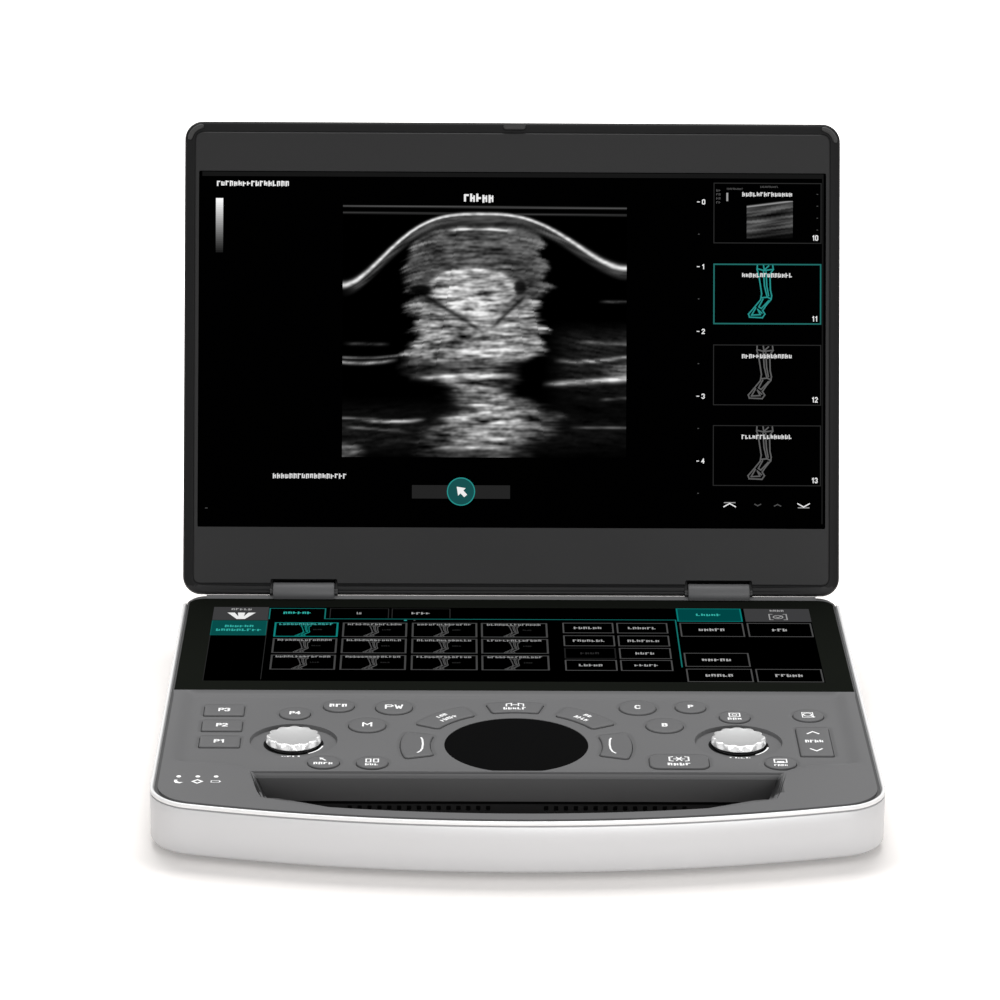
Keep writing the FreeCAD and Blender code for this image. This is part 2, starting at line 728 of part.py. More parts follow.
def cooling():
    housing = new_body("fan_housing")
    grow(housing, rounded("fan_x - fan_half_width", "fan_y - fan_half_width", "fan_x + fan_half_width",
                          "fan_y + fan_half_width", "4"), "fan_low", "fan_high - fan_low")
    cut(housing, circle("fan_x", "fan_y", "fan_bore"), "fan_high", "9.9")
    cut(housing, circle("fan_x", "fan_y", "1.05"), "fan_high", "10.9")
    cut(housing, box("fan_x - 22", "fan_y - fan_half_width - 2", "fan_x + 22", "fan_y - 12"),
        "fan_high - 1.6", "8.3")
    rotor = new_body("fan_rotor")
    grow(rotor, circle("fan_x", "fan_y", "hub_radius"), "fan_low + 2.4", "7.6")
    grow(rotor, circle("fan_x", "fan_y", "1"), "fan_low + 0.8", "6")
    blades = 7
    grow(rotor, [blade_outline(2 * math.pi * i / blades) for i in range(blades)], "fan_low + 2.8", "6.6")
    sink = new_body("heat_sink")
    grow(sink, box("-80", "-84", "-20", "-34"), "4", "2")
    grow(sink, [box(-78.5 + 4 * i, -83, -77.3 + 4 * i, -36) for i in range(15)], "6", "9")


def blade_outline(turn):
    """One thin fan blade, swept backwards from the hub."""
    centre = Vector(size("fan_x"), size("fan_y"), 0)
    spot = lambda r, a: centre + Vector(math.cos(turn + a), math.sin(turn + a), 0) * r
    root, tip = size("hub_radius - 0.5"), size("blade_tip")
    edges = [
        Part.Arc(spot(root, 0), spot(15.5, 0.1), spot(tip, 0.35)).toShape(),
        Part.LineSegment(spot(tip, 0.35), spot(tip, 0.4)).toShape(),
        Part.Arc(spot(tip, 0.4), spot(15.3, 0.18), spot(root, 0.12)).toShape(),
        Part.LineSegment(spot(root, 0.12), spot(root, 0)).toShape(),
    ]
    return Part.Wire(edges)


def connectors():
    """A wide multi-pin probe socket on the right side, cable sockets in the middle of the rear."""
    socket = new_body("probe_socket")
    side = "base_width / 2"
    half = size("socket_width") / 2
    y0, y1 = size("socket_y") - half, size("socket_y") + half
    z0, z1 = size("socket_low"), size("socket_high")
    grow(socket, rounded(y0, z0, y1, z1, 3), side + " - 15", "14.4", plane="YZ_Plane")
    cut(socket, rounded(y0 + 3, z0 + 2.5, y1 - 3, z1 - 2.5, 2), side, "10", plane="YZ_Plane")
    tongue = rounded(y0 + 7, z0 + 6.2, y1 - 7, z1 - 6.2, 1)
    grow(socket, tongue, side + " - 11", "8", plane="YZ_Plane")
    ports = new_body("io_ports")
    grow(ports, box("-port_width / 2", "port_low", "port_width / 2", "port_high"), "0.5 - base_rear", "13",
         plane="XZ_Plane")
    sockets = [box(x, 11.2, x + wide, 17.8) for x, wide in ((-36, 13), (-18, 14), (1, 14))]
    sockets.append(circle(29, 14.5, 3.2))
    cut(ports, sockets, "10 - base_rear", "12", plane="XZ_Plane")


def small_base_parts():
    speakers = new_body("speakers")
    grow(speakers, [circle(side * 146, -102, 12) for side in (-1, 1)], "foot_height + wall + 0.2", "7")
    feet = new_body("rubber_feet")
    spots = [(side * x, y) for side in (-1, 1) for x, y in ((140, -110), (140, 140))]
    grow(feet, [circle(x, y, 8) for x, y in spots], "0", "foot_height")
    screws = new_body("case_screws")
    grow(screws, [circle(x, y, 1.25) for x, y in SCREW_SPOTS], "foot_height + 0.4", "16")
    grow(screws, [circle(x, y, 2.5) for x, y in SCREW_SPOTS], "foot_height + 0.2", "1.4")
    lamps = new_body("status_lenses")
    grow(lamps, [circle(x, "lamp_y", 1.15) for x in LAMP_SPOTS], "cover_underside",
         "deck_level + 0.1 - cover_underside")


def hinges():
    """The fixed half: a sleeve on a neck behind the base, with its bracket inside."""
    up, behind = size("axis_up_lid"), size("axis_behind_face")
    tilt = math.radians(size("lid_tilt"))
    axis_y = size("lid_foot_y") + up * math.sin(tilt) + behind * math.cos(tilt)
    axis_z = size("lid_foot_z") + up * math.cos(tilt) - behind * math.sin(tilt)
    radius = size("hinge_radius")
    low = size("deck_level") + 0.15
    wall = size("base_rear") + 0.1
    reach = math.sqrt(radius ** 2 - (axis_z - low) ** 2)
    spots = [
        Vector(wall, 20, 0), Vector(axis_y + radius, 20, 0), Vector(axis_y + radius, axis_z, 0),
        Vector(axis_y, axis_z + radius, 0), Vector(axis_y - reach, low, 0),
        Vector(size("lip_rear") + 0.15, low, 0),
    ]
    first = (spots[2] + spots[3]) * 0.5 - Vector(axis_y, axis_z, 0)
    crown = Vector(axis_y, axis_z, 0) + first.normalize() * radius
    front = Vector(axis_y - radius * math.cos(0.5), axis_z + radius * math.sin(0.5), 0)
    under = Vector(spots[5].x, size("deck_level") - size("glass_thickness") - 1.4, 0)
    inner = Vector(wall, under.y, 0)
    wire = Part.Wire([edge.toShape() for edge in (
        Part.LineSegment(spots[0], spots[1]), Part.LineSegment(spots[1], spots[2]),
        Part.Arc(spots[2], crown, spots[3]), Part.Arc(spots[3], front, spots[4]),
        Part.LineSegment(spots[4], spots[5]), Part.LineSegment(spots[5], under),
        Part.LineSegment(under, inner), Part.LineSegment(inner, spots[0]),
    )])
    covers = new_body("hinge_covers")
    frames = new_body("hinge_frames")
    for side in (-1, 1):
        start = f"{side} * hinge_x - hinge_width / 2"
        grow(covers, wire, start, "hinge_width", plane="YZ_Plane")
        grow(frames, box("base_rear - 22", 9.6, "base_rear - 13", "bracket_low + bracket_thickness"), start,
             "hinge_width", plane="YZ_Plane")
        grow(frames, box("base_rear - 13.5", "bracket_low", "base_rear", "bracket_low + bracket_thickness"),
             start, "hinge_width", plane="YZ_Plane")
    bore = circle(axis_y, axis_z, "pin_radius + shaft_clearance")
    cut(covers, bore, "base_width", "base_width * 2", plane="YZ_Plane")


# ---------------------------------------------------------------- lid

def lid_outline(inset=0.0):
    half = size("lid_width") / 2
    wire = rounded(-half, 0, half, "lid_height", "lid_corner")
    return offset(wire, -inset)


def cutouts():
    return [box(f"{side} * hinge_x - cutout_width / 2", -5, f"{side} * hinge_x + cutout_width / 2",
                "cutout_height") for side in (-1, 1)]


def lid():
    back = new_body("lid_back_cover", on_lid=True)
    grow(back, lid_outline(), "-lid_thickness", "lid_thickness - bezel_depth - 0.1")
    fillet(back, "5", flat_at("-lid_thickness"))
    cut(back, lid_outline(size("lid_wall")), "0", "lid_thickness - lid_wall")
    cut(back, cutouts(), "0", "lid_thickness")
    bezel = new_body("lid_bezel", on_lid=True)
    grow(bezel, lid_outline(0.5), "-bezel_depth", "bezel_depth")
    fillet(bezel, "1.2", flat_at("0"))
    window = rounded("-window_width / 2", "window_low", "window_width / 2", "window_low + window_height", "1")
    cut(bezel, window, "0", "lid_thickness")
    cut(bezel, cutouts(), "0", "lid_thickness")
    cut(bezel, lid_outline(size("lid_wall")), "-1.8", "4")
    panel = new_body("display_panel", on_lid=True)
    grow(panel, box("-window_width / 2 - lcd_border", "window_low - lcd_border",
                    "window_width / 2 + lcd_border", "window_low + window_height + lcd_border"),
         "-6.6", "4.6")
    bumpers = new_body("corner_bumpers", on_lid=True)
    for side in (-1, 1):
        grow(bumpers, bumper_outline(side), "0.02", "0.75")
    tab = new_body("lift_tab", on_lid=True)
    grow(tab, rounded("-5.3", "lid_height - 4.2", "6.9", "lid_height - 0.6", "1.5"), "0.02", "0.8")


def bumper_outline(side):
    """A narrow rubber arc just inside an upper corner of the lid."""
    centre = Vector(side * size("lid_width / 2 - 11"), size("lid_height - 11"), 0)
    spot = lambda r, a: centre + Vector(side * math.cos(math.radians(a)), math.sin(math.radians(a)), 0) * r
    edges = [
        Part.Arc(spot(9.4, 8), spot(9.4, 45), spot(9.4, 82)).toShape(),
        Part.LineSegment(spot(9.4, 82), spot(7.2, 82)).toShape(),
        Part.Arc(spot(7.2, 82), spot(7.2, 45), spot(7.2, 8)).toShape(),
        Part.LineSegment(spot(7.2, 8), spot(9.4, 8)).toShape(),
    ]
    return Part.Wire(edges)


def hinge_arms():
    """The turning half: a pin through each sleeve, two cheeks, and a plate inside the lid."""
    body = new_body("hinge_arms", on_lid=True)
    for side in (-1, 1):
        middle = f"{side} * hinge_x"
        grow(body, circle("axis_up_lid", "-axis_behind_face", "pin_radius"),
             f"{middle} - cutout_width / 2 + 0.3", "cutout_width - 0.6", plane="YZ_Plane")
        for end in (-1, 1):
            cheek = f"{middle} + {end} * (hinge_width / 2 + 1.05) - 0.65"
            grow(body, circle("axis_up_lid", "-axis_behind_face", "pin_radius + 0.3"), cheek, "1.3",
                 plane="YZ_Plane")
            grow(body, polygon([(1, -9), (12, -9), (12, -5), (3.4, -1), (1, -2.6)]), cheek, "1.3",
                 plane="YZ_Plane")
        grow(body, box(f"{middle} - 18.6", "cutout_height + 1.1", f"{middle} + 18.6", 30), "-9", "1.6")


# ---------------------------------------------------------------- build and write

for make in (side_band, bottom_cover, top_cover, touch_screen, handle_liner, vent_grille, touchpad,
             key_electronics, knobs, encoders, boards, cooling, connectors, small_base_parts, hinges,
             keys, depth_rocker, lid, hinge_arms):
    make()

DOC.recompute()
whole = FreeCAD.BoundBox()
for part in PARTS:
    whole.add(part.Shape.optimalBoundingBox(False, False))
SHEET.set("middle_y", f"{whole.Center.y:.3f}")
DOC.recompute()
print("middle_y", size("middle_y"), "whole box", whole.XLength, whole.YLength, whole.ZLength)

for item in DOC.Objects:
    if "Invalid" in item.State or "Error" in item.State:
        raise RuntimeError(f"{item.Label} failed: {item.State}")
os.makedirs("parts", exist_ok=True)
for part in PARTS:
    shape = part.Shape
    if shape.isNull() or not shape.isValid():
        raise RuntimeError(f"{part.Label} has no valid shape")
    shape.exportStep(f"parts/{part.Label}.step")
    print(part.Label, len(shape.Solids), "solids", round(shape.Volume / 1000, 2), "cm3")
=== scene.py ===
import bmesh
import bpy
import json
import math
import numpy as np
from mathutils import Matrix, Vector, geometry


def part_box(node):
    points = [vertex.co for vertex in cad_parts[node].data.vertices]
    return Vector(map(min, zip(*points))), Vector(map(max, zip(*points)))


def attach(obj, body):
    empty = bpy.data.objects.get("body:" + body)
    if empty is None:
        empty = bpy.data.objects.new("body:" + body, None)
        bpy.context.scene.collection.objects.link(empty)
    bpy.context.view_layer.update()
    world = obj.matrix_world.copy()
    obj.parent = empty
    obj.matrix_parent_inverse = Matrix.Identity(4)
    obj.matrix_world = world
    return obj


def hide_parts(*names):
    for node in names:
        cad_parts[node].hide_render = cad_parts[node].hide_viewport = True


# The looks of a laptop-style ultrasound scanner. Sizes are in millimetres in two flat systems,
# one on the base (Y = 0 in the middle of the control panel) and one on the open lid
# (X right, Y up the lid, Z out of the display), and BASE and LID take them to the frame.

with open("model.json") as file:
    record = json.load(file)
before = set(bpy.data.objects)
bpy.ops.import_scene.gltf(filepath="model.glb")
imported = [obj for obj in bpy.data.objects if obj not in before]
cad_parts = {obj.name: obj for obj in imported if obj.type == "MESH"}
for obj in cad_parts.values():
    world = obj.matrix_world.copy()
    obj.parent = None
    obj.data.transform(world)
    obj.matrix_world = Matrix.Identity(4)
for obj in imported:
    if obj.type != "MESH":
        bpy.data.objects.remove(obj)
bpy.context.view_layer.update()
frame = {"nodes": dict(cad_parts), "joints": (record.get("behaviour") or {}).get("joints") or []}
NODES = frame["nodes"]
JOINTS = {joint["name"]: joint for joint in frame["joints"]}
RNG = np.random.default_rng(7)
MM = 0.001


def corners(node):
    """A node's box in millimetres of the frame."""
    low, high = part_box(node)
    return low / MM, high / MM


# ---------------------------------------------------------------- sizes from the frame

PAD_Y = -45.0
PAD_LOW, PAD_HIGH = corners("touchpad")
PANEL_SHIFT = (PAD_LOW.y + PAD_HIGH.y) / 2 - PAD_Y
BAND_LOW, BAND_HIGH = corners("side_band")
GLASS_LOW, GLASS_HIGH = corners("touch_glass")
COVER_HIGH = corners("top_cover")[1]
HALF_BASE = BAND_HIGH.x
BASE_FRONT = BAND_LOW.y - PANEL_SHIFT
BASE_REAR = BAND_HIGH.y - PANEL_SHIFT
DECK = GLASS_HIGH.z
FIELD = PAD_HIGH.z
DISH = FIELD - 2.0
HALF_PANEL = COVER_HIGH.x
LIP_REAR = COVER_HIGH.y - PANEL_SHIFT
GLASS_FRONT = GLASS_LOW.y - PANEL_SHIFT
GLASS_REAR = GLASS_HIGH.y - PANEL_SHIFT
KNOB_X = (corners("right_knob")[0].x + corners("right_knob")[1].x) / 2
KNOB_Y = -39.8
DISH_RADIUS = 22.0
PAD_RADIUS = 36.15
LAMP_X, LAMP_Y = (-167, -157.6, -148.6), -92.8
FRONT_BOW, FRONT_CORNER = 640.0, 26.0  # radii of the base's bowed front and its front corners
BEVEL_START, BEVEL_WIDE = 0.3, 4.4  # the slope from the touch screen down to the key field
EDGE_GAP = 0.5  # between the top cover and the band's rim
WELL_DEEP, WELL_WIDE = 0.75, 1.9
GROOVE, RIM_TOP, FIT = 27.85, 30.1, 0.3
WALL_FOOT, LEDGE_TOP = 15.35, 13.85  # the shadow gap in the carry opening lies between them
STEM_TOP = 24.2

LID_TILT = math.radians(19.6)
AXIS_UP, AXIS_BEHIND = 1.35, 0.94
LID_WIDE, LID_HIGH, LID_THICK, LID_CORNER = 362.8, 261.7, 12.3, 10.0
BEZEL_DEEP = 3.6
WINDOW = (-173.4, 37.35, 173.4, 37.35 + 196.8)
HINGE_X, CUTOUT_WIDE, CUTOUT_HIGH = 114.5, 38.0, 8.7

UP_LID = Vector((0, math.sin(LID_TILT), math.cos(LID_TILT)))
OUT_OF_LID = Vector((0, -math.cos(LID_TILT), math.sin(LID_TILT)))
HINGE = Vector(JOINTS["lid_hinge"]["pos_m"]) / MM
LID_FOOT = HINGE - UP_LID * AXIS_UP + OUT_OF_LID * AXIS_BEHIND
SCALE = Matrix.Scale(MM, 4)
BASE = SCALE @ Matrix.Translation((0, PANEL_SHIFT, 0))
LID = SCALE @ Matrix.Translation(LID_FOOT) @ Matrix.Rotation(math.pi / 2 - LID_TILT, 4, "X")
TOUCH = (-163.0, 38.0, 163.0, 149.5)

ROUND_KEYS = {
    "key_preset_four": (-113.1, -3, 7.9),
    "key_reset": (-90.9, 7.7, 7.9),
    "key_pulsed_wave": (-62.4, 6, 9.5),
    "key_motion_mode": (-75.7, -18.7, 9.5),
    "key_cursor": (-96.4, -68.7, 7.9),
    "key_menu": (-72.2, -69, 7.9),
    "key_colour_mode": (63.3, 6.6, 9.5),
    "key_brightness_mode": (76.1, -18.1, 9.5),
    "key_power_mode": (90.7, 7.6, 7.9),
    "key_dual_view": (112.7, -6, 7.9),
    "key_save": (131.8, -68, 7.9),
    "key_zoom": (150.7, -3.8, 7.9),
}
PLATE_KEYS = {
    "key_preset_three": (-159.9, -6.1, -139.4, 8.4, 1.2),
    "key_preset_two": (-159.9, -27.2, -139.4, -12.7, 1.2),
    "key_preset_one": (-159.9, -49.1, -139.4, -34.6, 1.2),
    "key_freeze": (66.3, -75.5, 96, -57.3, 5.0),
    "depth_rocker": (142.7, -58.5, 159.4, -20.7, 1.2),
}
ARC_KEYS = {
    "key_update": (75, 105, 45, 58.5),
    "key_measure": (117, 151, 45, 58.5),
    "key_clear": (29.6, 63, 45, 58.5),
    "key_set_left": (163, 198, 43.5, 58.5),
    "key_set_right": (-18, 17, 43.5, 58.5),
}
KEY_NAMES = [*ROUND_KEYS, *PLATE_KEYS, *ARC_KEYS]
KEY_GAP = 0.35
KEY_TOP = FIELD + 0.3
RING_MIDDLE = 51.5
OPENING_REAR, OPENING_FRONT, OPENING_END = -88.3, -136.8, 128.5


# ---------------------------------------------------------------- flat outlines

def ring(x, y, radius, count=48, start=0.0):
    turns = [start + 2 * math.pi * i / count for i in range(count)]
    return [(x + radius * math.cos(a), y + radius * math.sin(a)) for a in turns]


def round_box(x0, y0, x1, y1, radius, grow=0.0, count=6):
    """A rectangle with round corners, counter-clockwise, grown outwards by some distance."""
    x0, y0, x1, y1 = x0 - grow, y0 - grow, x1 + grow, y1 + grow
    radius = max(radius + grow, 0.02)
    points = []
    hearts = ((x1 - radius, y0 + radius), (x1 - radius, y1 - radius),
              (x0 + radius, y1 - radius), (x0 + radius, y0 + radius))
    for corner, (cx, cy) in enumerate(hearts):
        for i in range(count + 1):
            a = math.pi / 2 * (corner - 1 + i / count)
            points.append((cx + radius * math.cos(a), cy + radius * math.sin(a)))
    return points


def arc_key(start, end, inner, outer, grow=0.0, radius=2.0):
    """One key of the ring round the touchpad, with round corners."""
    turn = grow / RING_MIDDLE
    first, last = math.radians(start) - turn, math.radians(end) + turn
    inner, outer, radius = inner - grow, outer + grow, max(radius + grow, 0.05)
    far, near = outer - radius, inner + radius
    far_turn, near_turn = math.asin(radius / far), math.asin(radius / near)
    points = []

    def arc(cx, cy, r, a0, a1, count):
        for i in range(count):
            a = a0 + (a1 - a0) * i / (count - 1)
            points.append((cx + r * math.cos(a), cy + r * math.sin(a)))

    def heart(distance, angle):
        return distance * math.cos(angle), PAD_Y + distance * math.sin(angle)

    arc(0, PAD_Y, outer, first + far_turn, last - far_turn, 24)
    arc(*heart(far, last - far_turn), radius, last - far_turn, last + math.pi / 2, 7)
    arc(*heart(near, last - near_turn), radius, last + math.pi / 2, last + math.pi - near_turn, 7)
    arc(0, PAD_Y, inner, last - near_turn, first + near_turn, 24)
    arc(*heart(near, first + near_turn), radius, first + near_turn + math.pi, first + 1.5 * math.pi, 7)
    arc(*heart(far, first + far_turn), radius, first - math.pi / 2, first + far_turn, 7)
    return tidy(points)


def tidy(points, gap=1e-3):
    """The outline without repeated points."""
    kept = []
    for point in points:
        if not kept or math.dist(point, kept[-1]) > gap:
            kept.append(point)
    if math.dist(kept[0], kept[-1]) <= gap:
        kept.pop()
    return kept


def key_shape(name, grow=0.0):
    if name in ROUND_KEYS:
        x, y, radius = ROUND_KEYS[name]
        return ring(x, y, radius + grow)
    if name in PLATE_KEYS:
        x0, y0, x1, y1, radius = PLATE_KEYS[name]
        return round_box(x0, y0, x1, y1, radius, grow)
    return arc_key(*ARC_KEYS[name], grow=grow)


def key_middle(name):
    points = np.array(key_shape(name))
    if name in ARC_KEYS:
        a = math.radians(sum(ARC_KEYS[name][:2]) / 2)
        r = sum(ARC_KEYS[name][2:]) / 2
        return r * math.cos(a), PAD_Y + r * math.sin(a)
    return tuple((points.min(0) + points.max(0)) / 2)


def base_outline(inset=0.0, rear=None, rear_corner=10.0):
    """The base from above, counter-clockwise: bowed front, large front corners, small rear ones."""
    half = HALF_BASE - inset
    rear = (BASE_REAR if rear is None else rear) - inset
    big, corner, back = FRONT_BOW - inset, FRONT_CORNER - inset, max(rear_corner - inset, 0.4)
    heart = BASE_FRONT + FRONT_BOW
    side_x = half - corner
    side_y = heart - math.sqrt((big - corner) ** 2 - side_x ** 2)
    swing = math.atan2(side_x, heart - side_y)
    points = []
    for i in range(65):
        a = -swing + 2 * swing * i / 64
        points.append((big * math.sin(a), heart - big * math.cos(a)))
    for i in range(1, 17):
        a = swing - math.pi / 2 + (math.pi / 2 - swing) * i / 16
        points.append((side_x + corner * math.cos(a), side_y + corner * math.sin(a)))
    for i in range(1, 24):
        points.append((half, side_y + (rear - back - side_y) * i / 24))
    for i in range(9):
        a = math.pi / 2 * i / 8
        points.append((half - back + back * math.cos(a), rear - back + back * math.sin(a)))
    left = [(-x, y) for x, y in points[65:]][::-1]
    return points + left


def handle_opening(grow=0.0):
    """The carry opening from above, counter-clockwise, with soft corners."""
    end, foot, front = OPENING_END, OPENING_END - 6, OPENING_FRONT
    bend, rise, shoulder = end - 36.5, 7.3, 20.8
    rough = [(end, OPENING_REAR), (-end, OPENING_REAR), (-foot, front + shoulder), (-bend, front + rise)]
    radius = (bend ** 2 + rise ** 2) / (2 * rise)
    for i in range(1, 24):
        x = -bend + 2 * bend * i / 24
        rough.append((x, front + radius - math.sqrt(radius ** 2 - x ** 2)))
    rough += [(bend, front + rise), (foot, front + shoulder)]
    return push_out(rough, grow) if grow else rough


def push_out(points, distance):
    """Moves a counter-clockwise outline outwards along its corners' bisectors."""
    moved = []
    for i, point in enumerate(points):
        before, after = Vector(points[i - 1]), Vector(points[(i + 1) % len(points)])
        here = Vector(point)
        a, b = (here - before).normalized(), (after - here).normalized()
        normal_a, normal_b = Vector((a.y, -a.x)), Vector((b.y, -b.x))
        along = (normal_a + normal_b).normalized()
        moved.append(tuple(here + along * distance / max(along.dot(normal_a), 0.35)))
    return moved


# ---------------------------------------------------------------- mesh tools

def placed(name, data):
    """A new object in the scene."""
    obj = bpy.data.objects.new(name, data)
    bpy.context.scene.collection.objects.link(obj)
    return obj


def piece(name, shape, look, body, place=BASE, replaces=(), smooth=30.0):
    """A new piece made from (verts, faces) in millimetres, riding on a body."""
    verts, faces = shape
    mesh = bpy.data.meshes.new(name)
    mesh.from_pydata([tuple(v) for v in verts], [], [tuple(f) for f in faces])
    mesh.transform(place)
    mesh.validate()
    work = bmesh.new()
    work.from_mesh(mesh)
    bmesh.ops.remove_doubles(work, verts=work.verts, dist=2e-6)
    bmesh.ops.recalc_face_normals(work, faces=work.faces)
    work.to_mesh(mesh)
    work.free()
    obj = placed(name, mesh)
    mesh.materials.append(look)
    shade(mesh, smooth)
    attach(obj, body)
    if replaces:
        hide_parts(*replaces)
    return obj


def shade(mesh, smooth):
    """Smooth shading, with the edges sharper than an angle in degrees kept."""
    mesh.shade_smooth()
    if mesh.attributes.get("sharp_edge"):
        mesh.attributes.remove(mesh.attributes["sharp_edge"])
    work = bmesh.new()
    work.from_mesh(mesh)
    limit = math.radians(smooth)
    for edge in work.edges:
        edge.smooth = len(edge.link_faces) != 2 or edge.calc_face_angle(0) < limit
    work.to_mesh(mesh)
    work.free()


def joined(parts):
    """Several (verts, faces) sets as one."""
    verts, faces = [], []
    for more_verts, more_faces in parts:
        start = len(verts)
        verts += list(more_verts)
        faces += [[start + i for i in face] for face in more_faces]
    return verts, faces


def lofted(rings, caps=True):
    """Quads between rings with equal point counts, with flat caps at the ends unless it is open."""
    count = len(rings[0])
    verts = [point for loop in rings for point in loop]
    faces = []
    for level in range(len(rings) - 1):
        for i in range(count):
            a, b = level * count + i, level * count + (i + 1) % count
            faces.append((a, b, b + count, a + count))
    if caps:
        faces.append(tuple(range(count))[::-1])
        start = (len(rings) - 1) * count
        faces.append(tuple(range(start, start + count)))
    return verts, faces


def tube(rings):
    return lofted(rings, caps=False)


def at(points, z):
    return [(x, y, z) for x, y in points]


def block(x0, y0, z0, x1, y1, z1, soft=0.3):
    """A box with softened edges, made of stacked round rectangles."""
    soft = min(soft, (x1 - x0) / 3, (y1 - y0) / 3, (z1 - z0) / 3)
    levels = ((-soft * 0.7, z0), (0, z0 + soft), (0, z1 - soft), (-soft * 0.7, z1))
    return lofted([at(round_box(x0, y0, x1, y1, soft, grow, 3), z) for grow, z in levels])


def inside(points, outline):
    """Which of the points lie inside a closed outline."""
    shape = np.array(outline)
    result = np.zeros(len(points), bool)
    low, high = shape.min(0), shape.max(0)
    near = np.all((points >= low) & (points <= high), axis=1)
    px, py = points[near, 0], points[near, 1]
    hit = np.zeros(len(px), bool)
    for (x0, y0), (x1, y1) in zip(shape, np.roll(shape, -1, 0)):
        crosses = (y0 > py) != (y1 > py)
        if crosses.any():
            hit ^= crosses & (px < (x1 - x0) * (py - y0) / (y1 - y0 + 1e-12) + x0)
    result[near] = hit
    return result


def shaped_sheet(outer, holes, guides, step, height, skirt, rows=(), columns=()):
    """A sheet with holes whose height follows a function, with a skirt round every edge.

    guides are lines that the mesh follows, rows and columns are extra grid lines."""
    points, edges = [], []

    def add(loop, closed=True):
        start = len(points)
        points.extend(loop)
        count = len(loop)
        edges.extend((start + i, start + (i + 1) % count) for i in range(count if closed else count - 1))

    for loop in [outer, *holes]:
        add(loop)
    for loop, closed in guides:
        add(loop, closed)
    shape = np.array(outer)
    low, high = shape.min(0), shape.max(0)
    xs = np.unique(np.round(np.concatenate([np.arange(low[0] + step / 2, high[0], step), list(columns)]), 3))
    ys = np.unique(np.round(np.concatenate([np.arange(low[1] + step / 2, high[1], step), list(rows)]), 3))
    grid = np.array(np.meshgrid(xs, ys)).reshape(2, -1).T
    keep = inside(grid, outer)
    for hole in holes:
        keep &= ~inside(grid, hole)
    points.extend(map(tuple, grid[keep]))
    flat, _, faces, *_ = geometry.delaunay_2d_cdt([Vector(p) for p in points], edges, [], 0, 1e-4)
    flat = np.array([tuple(v) for v in flat])
    faces = np.array(faces)
    middles = flat[faces].mean(1)
    good = inside(middles, outer)
    for hole in holes:
        good &= ~inside(middles, hole)
    faces = faces[good]
    verts = [tuple(v) for v in np.column_stack([flat, height(flat[:, 0], flat[:, 1])])]
    faces = [tuple(face) for face in faces]
    borders = {}
    for face in faces:
        for a, b in zip(face, face[1:] + face[:1]):
            if borders.pop((b, a), None) is None:
                borders[a, b] = True
    lower = {}
    for a, b in borders:
        for v in (a, b):
            if v not in lower:
                lower[v] = len(verts)
                verts.append((verts[v][0], verts[v][1], skirt(*verts[v])))
        faces.append((b, a, lower[a], lower[b]))
    return verts, faces


def smooth_step(t):
    t = np.clip(t, 0, 1)
    return t * t * (3 - 2 * t)


def ramp(value, start, wide):
    """A soft step from 0 at start to 1 after a distance, or before it where the distance is negative."""
    return smooth_step((value - start) / wide)


def distance_to(x, y, outline):
    """The distance from points to a closed outline."""
    best = np.full(x.shape, 1e9)
    shape = np.array(outline)
    for (x0, y0), (x1, y1) in zip(shape, np.roll(shape, -1, 0)):
        dx, dy = x1 - x0, y1 - y0
        along = np.clip(((x - x0) * dx + (y - y0) * dy) / (dx * dx + dy * dy + 1e-12), 0, 1)
        best = np.minimum(best, np.hypot(x - x0 - along * dx, y - y0 - along * dy))
    return best


# ---------------------------------------------------------------- materials

def linear(value):
    return value / 12.92 if value <= 0.04045 else ((value + 0.055) / 1.055) ** 2.4


def fill(node, **values):
    """Sets a node's inputs; an underscore stands for the space in a socket's name."""
    for socket, value in values.items():
        node.inputs[socket.replace("_", " ")].default_value = value
    return node


def add(tree, kind, **values):
    return fill(tree.nodes.new("ShaderNode" + kind), **values)


def wire(tree, *wires):
    for source, output, target, socket in wires:
        tree.links.new(source.outputs[output], target.inputs[socket])


def plain(name):
    """A new material with its node tree and principled shader."""
    made = bpy.data.materials.new(name)
    made.use_nodes = True
    return made, made.node_tree, made.node_tree.nodes["Principled BSDF"]


def material(name, colour, rough, metallic=0.0, grain=0.0, grain_size=0.4, tone=0.0, coat=0.0,
             specular=0.5, coat_rough=0.05, rough_spread=0.0, glow=0.0):
    """A principled material with fine moulded grain, slight tone changes and uneven gloss."""
    made, tree, shader = plain(name)
    fill(shader, Metallic=metallic, Roughness=rough, Specular_IOR_Level=specular, Coat_Weight=coat,
         Coat_Roughness=coat_rough)
    if glow:
        fill(shader, Emission_Color=(1, 1, 1, 1), Emission_Strength=glow)
    place = add(tree, "TexCoord")
    cloud = add(tree, "TexNoise", Scale=14.0, Detail=3.0)
    mix = add(tree, "Mix")
    mix.data_type = "RGBA"
    fill(mix, A=(*[linear(c * (1 - tone)) for c in colour], 1),
         B=(*[linear(min(c * (1 + tone), 1)) for c in colour], 1))
    wire(tree, (place, "Object", cloud, "Vector"), (cloud, "Fac", mix, "Factor"),
         (mix, "Result", shader, "Base Color"))
    if rough_spread:
        spread = add(tree, "MapRange", To_Min=max(rough - rough_spread, 0.02), To_Max=rough + rough_spread)
        wire(tree, (cloud, "Fac", spread, "Value"), (spread, "Result", shader, "Roughness"))
    if grain:
        pores = add(tree, "TexNoise", Scale=1 / (grain_size * MM), Detail=2.0)
        bump = add(tree, "Bump", Strength=grain, Distance=0.05 * MM)
        wire(tree, (place, "Object", pores, "Vector"), (pores, "Fac", bump, "Height"),
             (bump, "Normal", shader, "Normal"))
    return made


